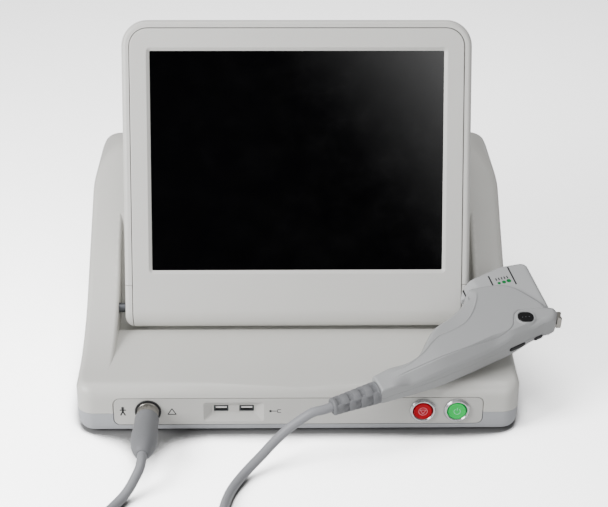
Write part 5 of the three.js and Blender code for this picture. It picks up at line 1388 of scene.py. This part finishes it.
# %% [markdown]
# ## Stage and light
#
# The unit stands on pale paper. A camera ray sees a brighter paper than the light does, and the more
# the unit hides the sky from a spot, the darker that spot is: this deepens the soft shadow under the
# base. One broad lamp at the upper left makes the left sides brighter than the right, two weaker ones
# help from above and in front, and the plain sky fills the rest. The screen mirrors what stands in
# front of it: a dark card with a soft bright corner gives it the grey sweep at the upper right, and
# only mirror rays see that card.

# %% Paper floor
material, node, out, link = new_material("white_paper")
rays = node("LightPath").outputs
mirror = {0: rays["Is Glossy Ray"], 1: rays["Is Transmission Ray"]}
seen = node("Math", mirror, operation="MAXIMUM").outputs[0]
open_sky = node("AmbientOcclusion", {"Distance": 0.055}, samples=24).outputs["AO"]
shadow = node("MapRange", {0: open_sky, 1: 0.51, 2: 0.68, 3: 0.2, 4: 3.9}, interpolation_type="SMOOTHSTEP")
paper = node("BsdfDiffuse", {"Color": (0.72, 0.72, 0.72, 1)})
mirrored = node("BsdfDiffuse", {"Color": (1.15, 1.15, 1.15, 1)})
bright = node("BsdfDiffuse", {"Color": shadow.outputs[0]})
mixed = node("MixShader", {"Fac": seen, 1: paper.outputs[0], 2: mirrored.outputs[0]})
mixed = node("MixShader", {"Fac": rays["Is Camera Ray"], 1: mixed.outputs[0], 2: bright.outputs[0]})
link(mixed.outputs[0], out)
FLOOR_HALF = 6.0
floor_corners = np.array([(-1, -1, 0), (1, -1, 0), (1, 1, 0), (-1, 1, 0)])
floor = mesh_object("floor", floor_corners * FLOOR_HALF, [[0, 1, 2, 3]])
floor.data.materials.append(material)

# %% Card that the screen mirrors
material, node, out, link = new_material("mirror_card")
place = node("SeparateXYZ", {0: node("TexCoord").outputs["Object"]})
lifted = node("Math", {0: place.outputs[2], 1: 0.562, 2: -0.448}, operation="MULTIPLY_ADD").outputs[0]
sweep = node("Math", {0: place.outputs[0], 1: 0.827, 2: lifted}, operation="MULTIPLY_ADD").outputs[0]
share = node("MapRange", {0: sweep, 1: 0.0, 2: 0.42, 3: 0.0, 4: 1.0}).outputs[0]
curve = node("Math", {0: share, 1: 2.6}, operation="POWER").outputs[0]
strength = node("Math", {0: curve, 1: 3.0}, operation="MULTIPLY").outputs[0]
glow = node("Emission", {"Color": (1, 1, 1, 1), "Strength": strength})
link(glow.outputs[0], out)
card_points = np.array([(-1.3, -1.75, -0.1), (1.3, -1.75, -0.1), (1.3, -1.75, 1.3), (-1.3, -1.75, 1.3)])
card = mesh_object("mirror_card", card_points, [[0, 1, 2, 3]])
card.data.materials.append(material)
card.visible_camera = card.visible_diffuse = card.visible_shadow = card.visible_transmission = False

# %% Sky
world = bpy.data.worlds.new("studio")
world.use_nodes = True
bpy.context.scene.world = world
node, link = node_tools(world.node_tree)
rays = node("LightPath").outputs
plain = {0: rays["Is Camera Ray"], 1: rays["Is Transmission Ray"]}
seen = node("Math", plain, operation="MAXIMUM").outputs[0]
fill = node("Background", {"Color": (1, 1, 1, 1), "Strength": 0.32}).outputs[0]
white = node("Background", {"Color": (1, 1, 1, 1), "Strength": 1.0}).outputs[0]
link(node("MixShader", {"Fac": seen, 1: fill, 2: white}).outputs[0], node("OutputWorld").inputs["Surface"])


# %% Lamps
def area_lamp(name, at, aim, size, power):
    """A square soft lamp in metres, turned so that its face looks at the aim."""
    data = bpy.data.lights.new(name, "AREA")
    data.shape = "SQUARE"
    data.size = size
    data.energy = power
    lamp = bpy.data.objects.new(name, data)
    bpy.context.scene.collection.objects.link(lamp)
    at, aim = Vector(at), Vector(aim)
    lamp.matrix_world = Matrix.Translation(at) @ (at - aim).to_track_quat("Z", "Y").to_matrix().to_4x4()
    return lamp


area_lamp("key", (-1.05, -0.7, 0.75), (0, 0, 0.12), 0.7, 21.0)
area_lamp("top", (-0.1, -0.1, 1.9), (0, 0, 0.05), 1.3, 15.0)
area_lamp("front", (0.2, -2.0, 0.8), (0, 0, 0.12), 1.0, 5.0)

# %% The plug's start and the cord's path in frame metres
on_console(plug_start).tolist()
on_console(cord_path).tolist()
